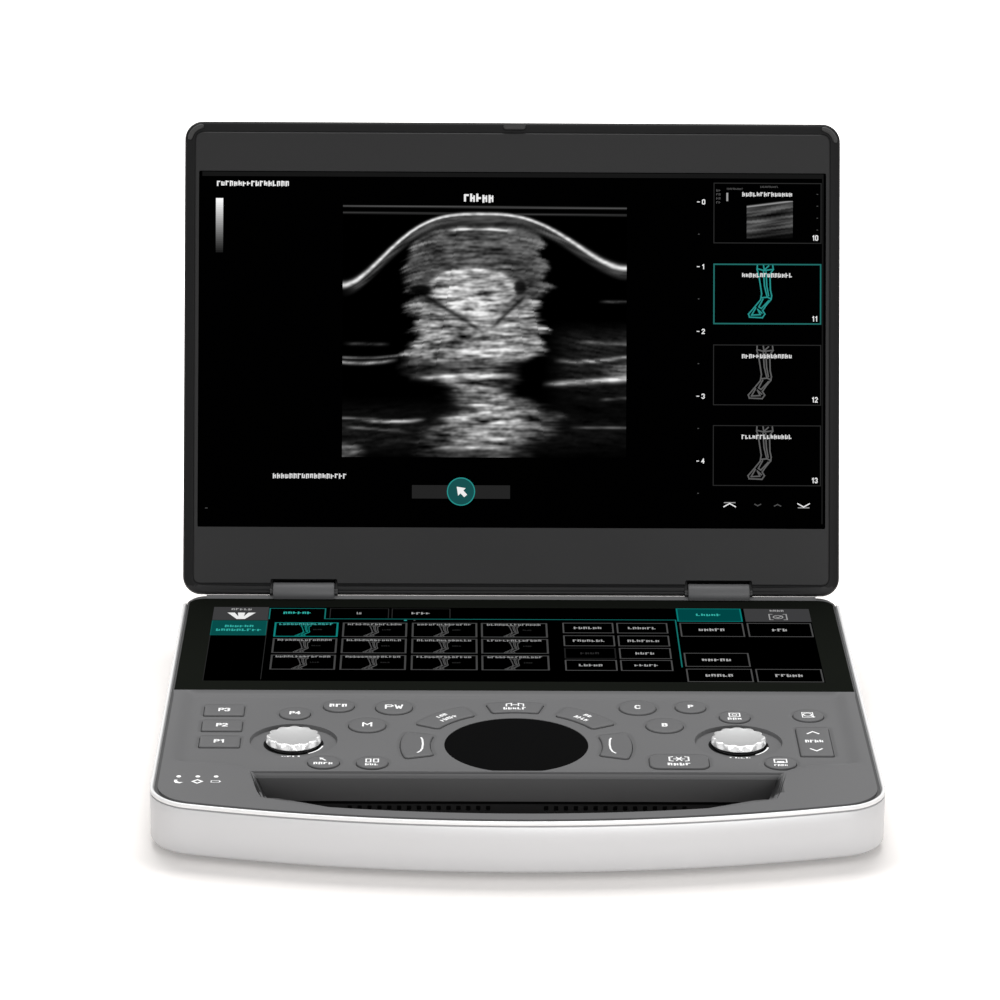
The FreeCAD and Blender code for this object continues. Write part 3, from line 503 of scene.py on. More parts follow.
def glowing(name):
    """Screen graphics: each face shines with its own stored colour."""
    made, tree, shader = plain(name)
    paint = add(tree, "Attribute")
    paint.attribute_name = "paint"
    wire(tree, (paint, "Color", shader, "Emission Color"))
    fill(shader, Emission_Strength=1.0, Base_Color=(0.0, 0.0, 0.0, 1), Roughness=0.5, Specular_IOR_Level=0.0)
    return made


PANEL = material("panel_plastic", (0.446, 0.446, 0.449), 0.48, grain=0.35, tone=0.02, rough_spread=0.05,
                 specular=0.05)
KEYCAP = material("key_plastic", (0.43, 0.43, 0.433), 0.48, grain=0.25, tone=0.015, rough_spread=0.04,
                  specular=0.08)
SILVER = material("silver_paint", (0.85, 0.85, 0.855), 0.36, metallic=0.2, grain=0.12, grain_size=0.25,
                  tone=0.01, coat=0.3, coat_rough=0.12)
# Polished rim, partly painted highlight: the rim is whiter than the silver band for the light it catches.
RIM = material("polished_rim_painted_highlight", (0.98, 0.98, 0.98), 0.25, metallic=0.1, tone=0.005, coat=0.5)
BEZEL = material("bezel_plastic", (0.16, 0.16, 0.162), 0.5, specular=0.2, grain=0.35,
                 grain_size=0.5, tone=0.03, rough_spread=0.05)
DARK = material("dark_plastic", (0.25, 0.25, 0.255), 0.55, grain=0.4, grain_size=0.5, tone=0.04)
BLACK = material("black_plastic", (0.09, 0.09, 0.092), 0.5, grain=0.3, tone=0.04)
# Painted shade: a darker copy of the bezel plastic for the bezel's sloping rim.
BEZEL_RIM_SHADE = material("bezel_rim_painted_shade", (0.10, 0.10, 0.102), 0.5, grain=0.3, grain_size=0.5, tone=0.03,
                     specular=0.12)
BUMPER = material("bumper_rubber", (0.27, 0.27, 0.27), 0.6, grain=0.4, grain_size=0.6,
                  tone=0.04, specular=0.2)
TAB = material("tab_plastic", (0.24, 0.24, 0.24), 0.5, grain=0.3, tone=0.03, specular=0.2)
# Painted shade: the slotted ledge low in the carry opening is near-black for the shade that falls there.
LEDGE_SHADE = material("ledge_painted_shade", (0.14, 0.14, 0.142), 0.6, grain=0.3, tone=0.03, specular=0.1)
# Painted shade: the band's groove is grey for the shade in it.
GROOVE_SHADE = material("groove_painted_shade", (0.62, 0.62, 0.625), 0.5, tone=0.02, specular=0.2)
# Dark glass, partly painted reflection: its specular gloss is off and its greenish tint stands for a dim
# reflection.
GLASS = material("black_glass_painted_reflection", (0.095, 0.103, 0.09), 0.3, tone=0.02, specular=0.0)
DISPLAY = material("display_glass", (0.004, 0.004, 0.005), 0.4, tone=0.01, specular=0.0)
SHADOW = material("shadow_black", (0.02, 0.02, 0.02), 0.8, tone=0.05, specular=0.1)
RECESS = material("recess_plastic", (0.30, 0.30, 0.303), 0.55, grain=0.3, grain_size=0.5,
                  tone=0.03, specular=0.3)
PAD = material("pad_film", (0.07, 0.07, 0.071), 0.5, grain=0.12, grain_size=0.2, tone=0.02, specular=0.0)
HINGE_GREY = material("hinge_plastic", (0.37, 0.37, 0.375), 0.5, grain=0.3, tone=0.02)
KNOB = material("knob_metal", (0.985, 0.985, 0.985), 0.25, metallic=0.4, grain=0.08,
                grain_size=0.15, coat=0.4)
RUBBER = material("rubber", (0.15, 0.15, 0.152), 0.75, grain=0.5, grain_size=0.6, tone=0.05)
STEEL = material("steel", (0.62, 0.62, 0.63), 0.35, metallic=1.0, grain=0.2, tone=0.04)
BOARD = material("solder_mask", (0.09, 0.30, 0.17), 0.45, grain=0.3, grain_size=1.2, tone=0.15, coat=0.3)
FINS = material("extruded_aluminium", (0.72, 0.72, 0.73), 0.38, metallic=0.9, grain=0.3, tone=0.05)
SLEEVE = material("battery_sleeve", (0.13, 0.14, 0.17), 0.4, grain=0.2, tone=0.05)
# Painted light: the white print also glows a little, though it is no lamp.
PRINT_GLOW = material("white_print_painted_glow", (0.93, 0.93, 0.93), 0.6, grain=0.1, tone=0.01, glow=0.25)
LENS = material("lamp_lens", (0.95, 0.95, 0.94), 0.25, tone=0.02, coat=0.3, glow=0.5)
GLOW = glowing("screen_graphics")

CAD_LOOKS = {
    BLACK: ["vent_grille", "hinge_frames", "hinge_arms", "tact_switches", "fan_housing", "fan_rotor",
            "encoders", "probe_socket", "io_ports", "speakers"],
    DARK: ["bottom_cover", "battery_cover", "handle_liner"],
    BOARD: ["key_board", "main_board", "front_end_board"],
    STEEL: ["case_screws", "left_knob_shaft", "right_knob_shaft"],
    FINS: ["heat_sink"],
    SLEEVE: ["battery_pack"],
    RUBBER: ["rubber_feet", "corner_bumpers"],
    LENS: ["status_lenses"],
    PANEL: ["top_cover"],
    SILVER: ["side_band", "lid_back_cover"],
    GLASS: ["touch_glass"],
    DISPLAY: ["touch_lcd", "display_panel"],
    PAD: ["touchpad"],
    HINGE_GREY: ["hinge_covers", "lift_tab"],
    KNOB: ["left_knob", "right_knob"],
    BEZEL: ["lid_bezel"],
    KEYCAP: KEY_NAMES,
}


def dress_cad_nodes():
    for look, names in CAD_LOOKS.items():
        for name in names:
            NODES[name].data.materials.clear()
            NODES[name].data.materials.append(look)


# ---------------------------------------------------------------- base

def field_depth(x, y):
    """How far the control panel is sunken, from 0 at the margin to 1 in the field."""
    wide = np.abs(x)
    ahead = GLASS_FRONT - BEVEL_START - y
    rear = 0.87 * (1 - (1 - np.clip(ahead / BEVEL_WIDE, 0, 1)) ** 2.2)
    rear = rear + 0.13 * ramp(ahead, 5.0, 1.1)
    side = ramp(wide, 172.8, -8.0)
    edge = -72.2 - 16 * np.exp(-np.maximum(wide - OPENING_END, 0) / 10.5)
    front = np.where(wide > OPENING_END, smooth_step((y - edge + 1.5) / 5.5), 1.0)
    return rear * side * front * (y >= -110)


def panel_height(x, y):
    z = DECK - (DECK - FIELD) * field_depth(x, y)
    for side in (-1, 1):
        reach = np.hypot(x - side * KNOB_X, y - KNOB_Y)
        z = z - (FIELD - DISH) * smooth_step((DISH_RADIUS + 0.25 - reach) / 0.5)
    opening = handle_opening()
    close = (y < OPENING_REAR + 4) & (y > OPENING_FRONT - 4) & (np.abs(x) < OPENING_END + 4)
    gap = np.full(x.shape, 9.0)
    gap[close] = distance_to(x[close], y[close], opening)
    end = smooth_step((np.abs(x) - OPENING_END + 12) / 9)
    z = z - (0.6 + 1.6 * end) * np.clip(1 - gap / (1.8 + 2.4 * end), 0, 1)
    return z - key_wells(x, y)


def key_wells(x, y):
    """Shallow wells round the keys, which leave a lit slope in front and a dark one behind."""
    sunk = np.zeros(x.shape)
    for name in KEY_NAMES:
        outline = np.array(key_shape(name, KEY_GAP))
        low, high = outline.min(0) - 2.5, outline.max(0) + 2.5
        near = (x > low[0]) & (x < high[0]) & (y > low[1]) & (y < high[1])
        reach = distance_to(x[near], y[near], outline)
        sunk[near] = np.maximum(sunk[near], WELL_DEEP * smooth_step((WELL_WIDE - reach) / WELL_WIDE))
    return sunk


def panel_outline(inset=0.0):
    """The top cover: inside the rim at the front and sides, over the rear wall at the back."""
    side = HALF_BASE - HALF_PANEL + EDGE_GAP
    return base_outline(inset + side, rear=LIP_REAR + side, rear_corner=9.0 + side)


def top_cover():
    opening = handle_opening()
    holes = [key_shape(name, KEY_GAP) for name in KEY_NAMES]
    holes.append(ring(0, PAD_Y, PAD_RADIUS + 0.2, 96))
    holes += [ring(side * KNOB_X, KNOB_Y, 3.3, 24) for side in (-1, 1)]
    holes += [ring(x, LAMP_Y, 1.2, 12) for x in LAMP_X]
    holes.append(opening)
    guides = [(ring(side * KNOB_X, KNOB_Y, DISH_RADIUS + past, 80), True)
              for side in (-1, 1) for past in (-0.45, -0.25, -0.08, 0.08, 0.25, 0.5)]
    guides += [(push_out(opening, grow), True) for grow in (0.6, 1.2, 1.8, 3.0, 4.2)]
    for name in KEY_NAMES:
        guides += [(key_shape(name, KEY_GAP + grow), True) for grow in (0.45, 0.95, 1.45, 1.95)]
    rows = [GLASS_FRONT - BEVEL_START - ahead for ahead in (0, 0.5, 1.0, 1.7, 2.5, 3.4, 4.4, 5.0, 5.5, 6.1)]
    sheet = shaped_sheet(front_panel_outline(), holes, guides, 2.1, panel_height,
                         lambda x, y, z: max(z - 3.2, 24.7), rows=rows)
    carry_recess(opening)
    # Painted shade: a black band under the top cover's edge stands for the dark shaded gap between the cover
    # and the band's rim.
    edge_shade = [(x, min(y, LIP_REAR - 0.3)) for x, y in panel_outline(-1.7)]
    sides = tube([at(edge_shade, 24.6), at(edge_shade, DECK - 1.2), at(panel_outline(0.2), DECK - 1.1)])
    piece("panel_gasket", sides, BLACK, "base")
    rail = block(-HALF_PANEL + 1.5, GLASS_FRONT - 1, 24.8, HALF_PANEL - 1.5, GLASS_FRONT + 6, DECK - 1.4)
    piece("panel_shell", joined([sheet, rear_strip(), rail]), PANEL, "base",
          replaces=["top_cover"], smooth=24)


def carry_recess(opening):
    """The walls of the carry opening: a smooth upper wall, a shadow gap and a slotted ledge painted dark as
    shade.
    """
    near, behind = push_out(opening, -0.12), push_out(opening, 1.0)
    wall = [at(near, WALL_FOOT), edge_line(near, 0.35), edge_line(push_out(opening, 0.05), 0.2)]
    piece("recess_wall", tube(wall), RECESS, "base", replaces=["handle_liner"], smooth=40)
    gap = [at(near, WALL_FOOT), at(behind, WALL_FOOT - 0.15), at(behind, LEDGE_TOP + 0.15),
           at(near, LEDGE_TOP)]
    piece("recess_gap", tube(gap), SHADOW, "base")
    foot = BAND_LOW.z + 0.05
    verts, faces = tube([at(push_out(opening, 1.4), foot), at(near, foot), at(near, LEDGE_TOP)])
    keep = [face for face in faces if not all(verts[i][1] > OPENING_REAR - 0.5 for i in face)]
    slots = [round_box(x - 1.1, 10.4, x + 1.1, 13.0, 0.4, 0, 3)
             for side in (-1, 1) for x in [side * (14.4 + 4.9 * i) for i in range(15)]]
    border = [(-OPENING_END, foot), (OPENING_END, foot), (OPENING_END, LEDGE_TOP), (-OPENING_END, LEDGE_TOP)]
    sheet, panes = shaped_sheet(border, slots, [], 12.0, lambda x, z: np.zeros(x.shape), lambda x, z, y: 1.5)
    ledge = joined([(verts, keep), ([(x, OPENING_REAR - 0.12 + y, z) for x, z, y in sheet], panes)])
    piece("recess_ledge", ledge, LEDGE_SHADE, "base", replaces=["vent_grille"], smooth=40)
    shade_strip = block(-92, OPENING_REAR + 1.2, 9.6, 92, OPENING_REAR + 2.0, 13.8, 0.2)
    piece("vent_shade", shade_strip, SHADOW, "base")


def edge_line(outline, below):
    """Points just under the panel's surface along an outline."""
    points = np.array(outline)
    z = panel_height(points[:, 0], points[:, 1]) - below
    return [(x, y, float(h)) for (x, y), h in zip(outline, z)]


def front_panel_outline():
    """The top cover's outline in front of the touch screen."""
    limit = GLASS_FRONT - 0.12
    points = [(x, y) for x, y in panel_outline() if y < limit - 0.5]
    points.sort(key=lambda p: math.atan2(p[0], 200 - p[1]))
    return points + [(HALF_PANEL, limit), (-HALF_PANEL, limit)]


def rear_strip():
    """The bar of the top cover between the touch screen and the lid."""
    front = GLASS_REAR - 8.0

    def behind(outline):
        return sorted((p for p in outline if p[1] > front), key=lambda p: p[0])

    def crown(x, y):
        rise = float(ramp(y, GLASS_REAR, 2.1)) * float(smooth_step((LIP_REAR - 0.1 - y) / 1.4))
        return x, y, DECK - 0.02 + 1.36 * rise

    outline = tidy([(-HALF_PANEL, front), *behind(panel_outline()), (HALF_PANEL, front),
                    (HALF_PANEL - 0.15, front), *behind(glass_outline(0.12))[::-1],
                    (-HALF_PANEL + 0.15, front)])
    bar = lofted([at(outline, DECK - 2.4), at(outline, DECK - 0.05)])
    rows = [GLASS_REAR + 0.15, GLASS_REAR + 0.8, GLASS_REAR + 1.5, GLASS_REAR + 2.2,
            LIP_REAR - 1.2, LIP_REAR - 0.6, LIP_REAR - 0.1]
    quads = [(2 * i, 2 * i + 1, 2 * i + 3, 2 * i + 2) for i in range(len(rows) - 1)]
    xs = np.linspace(-HALF_PANEL + 9, HALF_PANEL - 9, 40)
    return joined([bar, *[([crown(x, y) for y in rows for x in pair], quads) for pair in zip(xs, xs[1:])]])


def glass_outline(grow=0.0):
    """The touch screen's glass: square front corners, round rear ones."""
    half, front, rear = HALF_PANEL - 0.2 + grow, GLASS_FRONT - grow, GLASS_REAR + grow
    radius = 8.0 + grow
    points = [(-half, front), (half, front)]
    for side, start in ((1, 0.0), (-1, math.pi / 2)):
        for i in range(10):
            a = start + math.pi / 2 * i / 9
            points.append((side * (half - radius) + radius * math.cos(a),
                           rear - radius + radius * math.sin(a)))
    return tidy(points)


def touch_glass():
    levels = ((0, DECK - 1.2), (0, DECK - 0.25), (-0.25, DECK))
    plate = lofted([at(glass_outline(grow), z) for grow, z in levels])
    piece("glass_plate", plate, GLASS, "base", replaces=["touch_glass"])


def drilled(shape, cutter):
    """A closed (verts, faces) shape with openings cut through it."""
    made = []
    for verts, faces in (shape, cutter):
        mesh = bpy.data.meshes.new("drill")
        mesh.from_pydata([tuple(v) for v in verts], [], [tuple(f) for f in faces])
        work = bmesh.new()
        work.from_mesh(mesh)
        bmesh.ops.remove_doubles(work, verts=work.verts, dist=1e-4)
        bmesh.ops.dissolve_degenerate(work, edges=work.edges, dist=1e-4)
        bmesh.ops.recalc_face_normals(work, faces=work.faces)
        work.to_mesh(mesh)
        work.free()
        made.append(placed("drill", mesh))
    tool = made[0].modifiers.new("drill", "BOOLEAN")
    tool.operation, tool.solver, tool.object = "DIFFERENCE", "EXACT", made[1]
    result = made[0].evaluated_get(bpy.context.evaluated_depsgraph_get()).to_mesh()
    verts = [tuple(v.co) for v in result.vertices]
    faces = [tuple(p.vertices) for p in result.polygons]
    for obj in made:
        mesh = obj.data
        bpy.data.objects.remove(obj)
        bpy.data.meshes.remove(mesh)
    return verts, faces


def band_rings(profile):
    """Rings of the band's cross-section (inset, height) that dive under the lid at the rear."""
    top = max(z for _, z in profile)
    rings = []
    for inset, z in [*profile, profile[0]]:
        loop = []
        for x, y in base_outline(inset):
            dip = float(smooth_step((y - (BASE_REAR - 9)) / 4.0))
            loop.append((x, y, min(z, top + (24.3 - top) * dip)))
        rings.append(loop)
    return rings


def side_band():
    """The silver band: rounded below, upright, with a groove painted grey as shade and a rolled rim on top
    painted whiter as a highlight.
    """
    low, radius = BAND_LOW.z + 1.4, 2.5
    profile = [(9.0, 7.0), (9.0, low)]
    for i in range(11):
        a = math.pi / 2 * i / 10
        profile.append((radius - radius * math.sin(a), low + radius - radius * math.cos(a)))
    profile += [(0.0, 14.0), (0.0, 20.0), (0.0, GROOVE - 0.6), (0.06, GROOVE - 0.48), (0.3, GROOVE - 0.42),
                (0.75, GROOVE - 0.4), (2.9, GROOVE - 0.4), (2.9, 7.0)]
    (_, y0, z0), (_, y1, z1) = (corner - Vector((0, PANEL_SHIFT, 0)) for corner in corners("probe_socket"))
    socket = block(HALF_BASE - 5, y0 - FIT, z0 - FIT, HALF_BASE + 5, y1 + FIT, z1 + FIT, 0.01)
    (x0, _, z0), (x1, _, z1) = corners("io_ports")
    ports = block(x0 - FIT, BASE_REAR - 5, z0 - FIT, x1 + FIT, BASE_REAR + 5, z1 + FIT, 0.01)
    shell = drilled(tube(band_rings(profile)), joined([socket, ports]))
    piece("band_shell", shell, SILVER, "base", replaces=["side_band"], smooth=35)
    rim = [(0.75, GROOVE + 0.42), (0.2, GROOVE + 0.42), (0.04, GROOVE + 0.48), (0.0, GROOVE + 0.62)]
    for i in range(7):
        a = math.pi / 2 * i / 6
        rim.append((0.8 - 0.8 * math.cos(a), RIM_TOP - 0.8 + 0.8 * math.sin(a)))
    rim += [(1.3, RIM_TOP), (1.55, RIM_TOP - 0.1), (1.75, RIM_TOP - 0.45), (1.75, GROOVE + 0.42)]
    piece("band_rim", tube(band_rings(rim)), RIM, "base", smooth=40)
    core = [(0.45, GROOVE - 0.5), (0.45, GROOVE + 0.5), (2.2, GROOVE + 0.5), (2.2, GROOVE - 0.5)]
    piece("band_groove", tube(band_rings(core)), GROOVE_SHADE, "base")


def knob(side, name):
    """A fluted turning knob: twelve lobes, a rolled edge and a slightly dished top."""
    x, y = side * KNOB_X, KNOB_Y
    count = 144
    turns = [2 * math.pi * i / count for i in range(count)]

    def wave(radius, depth):
        loop = []
        for a in turns:
            r = radius - depth * (0.5 - 0.5 * math.cos(12 * a)) ** 1.6
            loop.append((x + r * math.cos(a), y + r * math.sin(a)))
        return loop

    z0, z1 = DISH + 1.55, corners(name)[1].z
    # Painted shade: a shadow-black collar under the cap stands for the dark gap beneath the knob.
    shadow_collar = [at(ring(x, y, 12.8, 64), z) for z in (DISH + 0.7, z0 + 0.3)]
    piece(f"{name}_collar", lofted(shadow_collar), SHADOW, name)
    # Painted shadow: a flat shadow-black ring on the dish round the knob's foot.
    shadow_ring = [at(ring(x, y, radius, 64), DISH + z)
            for radius, z in ((12.9, 0.02), (12.9, 0.06), (15.0, 0.06), (15.2, 0.01))]
    piece(f"{name}_felt", tube(shadow_ring), SHADOW, "base")
    rings = [at(ring(x, y, radius, count), z0 + up) for radius, up in ((3.1, 0.1), (12.6, 0), (13.9, 0.15))]
    rings += [at(wave(radius, depth), z) for radius, depth, z in (
        (14.0, 0.1, z0 + 0.35), (13.95, 0.4, z0 + 0.8), (13.85, 1.0, z0 + 1.4), (13.75, 1.3, z0 + 2.0),
        (13.6, 1.3, z1 - 0.5), (13.4, 1.25, z1 - 0.15), (13.0, 1.15, z1 - 0.02), (12.3, 0.8, z1),
        (11.5, 0.35, z1 - 0.08))]
    rings += [at(ring(x, y, radius, count), z1 - down)
              for radius, down in ((10.2, 0.2), (8, 0.4), (5, 0.62), (2, 0.7))]
    piece(f"{name}_cap", lofted(rings), KNOB, name, replaces=[name], smooth=38)


def key_cap(name):
    """A key with a softly rounded top."""
    low = corners(name)[0].z
    soft = 1.9 if name in ROUND_KEYS else 1.5
    levels = [(0.0, STEM_TOP), (0.0, FIELD - 0.5), (-0.08, FIELD - 0.2), (-0.3, FIELD + 0.05),
              (-0.7, KEY_TOP - 0.1), (-soft, KEY_TOP - 0.02), (-soft - 1.4, KEY_TOP)]
    cap = lofted([at(key_shape(name, grow), z) for grow, z in levels])
    if name != "depth_rocker":
        flange = ((1.1, low), (1.1, STEM_TOP), (0, STEM_TOP))
        cap = joined([cap, lofted([at(key_shape(name, grow), z) for grow, z in flange])])
    piece(f"{name}_cap", cap, KEYCAP, name, replaces=[name], smooth=40)


def touchpad():
    edge = ((0, 24.8), (0, FIELD - 0.35), (-0.15, FIELD - 0.12), (-0.55, FIELD - 0.02), (-1.65, FIELD),
            (20 - PAD_RADIUS, FIELD))
    disc = lofted([at(ring(0, PAD_Y, PAD_RADIUS + grow, 128), z) for grow, z in edge])
    piece("touchpad_disc", disc, PAD, "base", replaces=["touchpad"])


def build_base():
    top_cover()
    touch_glass()
    side_band()
    touchpad()
    for side, name in ((-1, "left_knob"), (1, "right_knob")):
        knob(side, name)
    for name in KEY_NAMES:
        key_cap(name)


# ---------------------------------------------------------------- lid

def lid_outline(inset=0.0, count=10):
    half = LID_WIDE / 2
    return round_box(-half, 0, half, LID_HIGH, LID_CORNER, -inset, count)


def notched(inset):
    """The lid's outline with the two hinge cut-outs in its lower edge."""
    loop = lid_outline(inset)
    start = next(i for i, (x, y) in enumerate(loop) if x > 0 and abs(y - inset) < 1e-6)
    loop = loop[start:] + loop[:start]
    notch = []
    for side in (-1, 1):
        left, right = side * HINGE_X - CUTOUT_WIDE / 2, side * HINGE_X + CUTOUT_WIDE / 2
        notch += [(left, inset), (left + 0.6, CUTOUT_HIGH - 0.4), (left + 1.2, CUTOUT_HIGH),
                  (right - 1.2, CUTOUT_HIGH), (right - 0.6, CUTOUT_HIGH - 0.4), (right, inset)]
    return loop + notch


def edge_depth(x, y):
    """How far inside the lid's outline a point lies."""
    half = LID_WIDE / 2
    qx = np.abs(x) - (half - LID_CORNER)
    qy = np.abs(y - LID_HIGH / 2) - (LID_HIGH / 2 - LID_CORNER)
    return LID_CORNER - np.hypot(np.maximum(qx, 0), np.maximum(qy, 0)) - np.minimum(np.maximum(qx, qy), 0)


def bezel_height(x, y):
    """The bezel's face: a sloping rim, a groove inside it, and two creases along the bottom."""
    half, edge = LID_WIDE / 2, edge_depth(x, y)
    z = -1.35 + 1.1 * np.clip((edge - 0.5) / 5.1, 0, 1) ** 0.85
    lip = np.clip(edge - 0.5, 0, 1)
    z = np.where(edge < 1.5, z - 0.9 * (1 - np.sqrt(lip * (2 - lip))), z)
    z = z + 0.25 * ramp(edge, 6.1, 0.5)
    z = z - 0.35 * np.exp(-((edge - 5.85) / 0.22) ** 2)
    for crease in (2.3, 4.7):
        z = z - 0.30 * np.exp(-((y - crease) / 0.3) ** 2) * (np.abs(x) < half - 12)
    return z


def lid_bezel():
    guides = [(lid_outline(inset), True) for inset in (0.7, 1.0, 1.5, 3, 5.3, 5.6, 5.85, 6.1, 6.6)]
    for y in (1.9, 2.3, 2.7, 4.3, 4.7, 5.1):
        guides.append(([(-LID_WIDE / 2 + 11, y), (LID_WIDE / 2 - 11, y)], False))
    window = round_box(*WINDOW, 0.8, 0, 3)
    sheet = shaped_sheet(notched(0.5), [window], guides, 9.0, bezel_height, lambda x, y, z: -BEZEL_DEEP)
    shell = piece("bezel_shell", sheet, BEZEL, "lid", LID, ["lid_bezel"], smooth=28)
    # Painted shade: the rim's faces outside the groove, above the bottom strip, take the darker copy of the
    # bezel plastic.
    shell.data.materials.append(BEZEL_RIM_SHADE)
    back = LID.inverted()
    for face in shell.data.polygons:
        x, y, _ = back @ face.center
        if edge_depth(x, y) < 5.9 and y > 5.0:
            face.material_index = 1


def back_height(x, y):
    """The back of the lid, gently rounded towards its edges (measured out of the back)."""
    edge = np.clip(edge_depth(x, y), 0, 5.0)
    return -LID_THICK + 5.0 - np.sqrt(np.maximum(25.0 - (5.0 - edge) ** 2, 0))


def lid_back():
    guides = [(lid_outline(inset), True) for inset in (0.12, 0.5, 1.1, 1.9, 2.9, 3.9, 5.0)]
    sheet = shaped_sheet(notched(0.02), [], guides, 14.0, back_height, lambda x, y, z: -BEZEL_DEEP - 0.1)
    piece("lid_back_shell", sheet, SILVER, "lid", LID, ["lid_back_cover"], smooth=30)
    # Painted shade: shadow-black walls in the hinge cut-outs, and a shadow-black strip along the lid's lower
    # edge, stand for the shade there.
    pocket = []
    back, front, head = -LID_THICK + 0.5, -1.6, CUTOUT_HIGH
    for side in (-1, 1):
        left, right = side * HINGE_X - CUTOUT_WIDE / 2, side * HINGE_X + CUTOUT_WIDE / 2
        pocket += [block(*sizes, 0.1) for sizes in (
            (left + 0.05, head - 0.45, back, right - 0.05, head + 0.9, front),
            (left - 0.9, 0.4, back + 0.5, left + 0.45, head + 0.9, front),
            (right - 0.45, 0.4, back + 0.5, right + 0.9, head + 0.9, front),
            (left - 0.5, 3.0, -8.4, right + 0.5, head + 0.8, -7.6),
            (left, 0.3, -8.4, left + 2.0, 4.0, -7.6),
            (right - 2.0, 0.3, -8.4, right, 4.0, -7.6))]
    pocket.append(block(-LID_WIDE / 2 + 12, -0.02, -7.2, LID_WIDE / 2 - 12, 0.3, -2.2, 0.1))
    piece("hinge_pocket_shade", joined(pocket), SHADOW, "lid", LID)


def display():
    levels = ((1.6, -6.4), (1.6, -2.2), (-0.3, -2.2), (-0.3, -0.55), (-0.5, -0.4))
    pane = lofted([at(round_box(*WINDOW, 0.5, grow, 3), z) for grow, z in levels])
    piece("display_glass", pane, DISPLAY, "lid", LID, ["display_panel"])


def lid_trim():
    """Rubber arcs on the two upper corners, and the tab that the lid is lifted by."""
    middle, bow = 8.2, 11
    section = [(6.9, -0.6), (6.9, 0.2), (7.3, 0.62), (8.2, 0.75), (9.1, 0.55), (9.5, 0.0), (9.5, -0.6)]
    strips = []
    for side in (-1, 1):
        rings = []
        for i in range(25):
            a = math.radians(4 + 82 * i / 24)
            steps = min(i, 24 - i)
            slim = 0.45 + 0.55 * math.sqrt(steps / 3) if steps < 3 else 1.0
            cx, cy = side * (LID_WIDE / 2 - bow), LID_HIGH - bow
            drawn = [(middle + (r - middle) * slim, z) for r, z in section]
            rings.append([(cx + side * r * math.cos(a), cy + r * math.sin(a), z) for r, z in drawn])
        strips.append(lofted(rings))
    piece("bumper_arcs", joined(strips), BUMPER, "lid", LID, ["corner_bumpers"], smooth=40)
    levels = ((0, -0.8), (0, 0.3), (-0.15, 0.6), (-0.5, 0.78), (-1.0, 0.82))
    tab = lofted([at(round_box(-5.3, LID_HIGH - 4.0, 6.9, LID_HIGH - 0.55, 1.3, grow), z)
                  for grow, z in levels])
    piece("lift_tab_cap", tab, TAB, "lid", LID, ["lift_tab"], smooth=40)


def hinge_covers():
    """The grey sleeves over the hinge pins, with rounded ends."""
    _, centre_y, centre_z = (value / MM for value in JOINTS["lid_hinge"]["pos_m"])
    centre_y -= PANEL_SHIFT
    radius = corners("hinge_covers")[1].z - centre_z
    foot, sill = 20.2, DECK + 0.18
    sleeves = []
    for side in (-1, 1):
        rings = []
        for across, inset in ((-16.9, 0.5), (-16.6, 0.12), (-16.2, 0), (16.2, 0), (16.6, 0.12), (16.9, 0.5)):
            r = radius - inset
            loop = [(BASE_REAR + 0.2, foot), (centre_y + r, foot), (centre_y + r, centre_z)]
            loop += [(centre_y + r * math.cos(a), centre_z + r * math.sin(a))
                     for a in [math.pi * i / 20 for i in range(1, 21)]]
            loop += [(centre_y - r, centre_z - 0.8), (centre_y - 4.8 + inset, sill), (LIP_REAR + 0.2, sill),
                     (LIP_REAR + 0.2, 27.5), (BASE_REAR + 0.2, 27.5)]
            rings.append([(side * HINGE_X + across, y, z) for y, z in loop])
        sleeves.append(lofted(rings))
    piece("hinge_sleeves", joined(sleeves), HINGE_GREY, "base", replaces=["hinge_covers"])


def build_lid():
    lid_bezel()
    lid_back()
    display()
    lid_trim()
    hinge_covers()


# ---------------------------------------------------------------- prints and screen graphics

STROKES = {
    "0": [[(0, 1), (0, 5), (1, 6), (3, 6), (4, 5), (4, 1), (3, 0), (1, 0), (0, 1)]],
    "1": [[(0.8, 4.8), (2.4, 6), (2.4, 0)]],
    "2": [[(0, 5), (1, 6), (3, 6), (4, 5), (4, 4), (0, 0), (4, 0)]],
    "3": [[(0, 5), (1, 6), (3, 6), (4, 5), (4, 4), (3, 3), (4, 2), (4, 1), (3, 0), (1, 0), (0, 1)]],
    "4": [[(3, 0), (3, 6), (0, 2), (4, 2)]],
    "B": [[(0, 0), (0, 6), (3, 6), (4, 5), (4, 4), (3, 3), (0, 3)],
          [(3, 3), (4, 2), (4, 1), (3, 0), (0, 0)]],
    "C": [[(4, 5), (3, 6), (1, 6), (0, 5), (0, 1), (1, 0), (3, 0), (4, 1)]],
    "M": [[(0, 0), (0, 6), (2, 2.5), (4, 6), (4, 0)]],
    "P": [[(0, 0), (0, 6), (3, 6), (4, 5), (4, 4), (3, 3), (0, 3)]],
    "W": [[(0, 6), (1, 0), (2, 4), (3, 0), (4, 6)]],
    "-": [[(0, 3), (3, 3)]],
}
WHITE, TEAL, TEAL_FILL = (0.93, 0.93, 0.93), (0.16, 0.56, 0.54), (0.03, 0.30, 0.29)
SOFT, DIM, FAINT, TILE = (0.62, 0.62, 0.62), (0.30, 0.30, 0.30), (0.16, 0.16, 0.16), (0.24, 0.24, 0.245)
PALE, MINT = (0.85, 0.85, 0.85), (0.2, 0.68, 0.64)
LAYER = 0.02


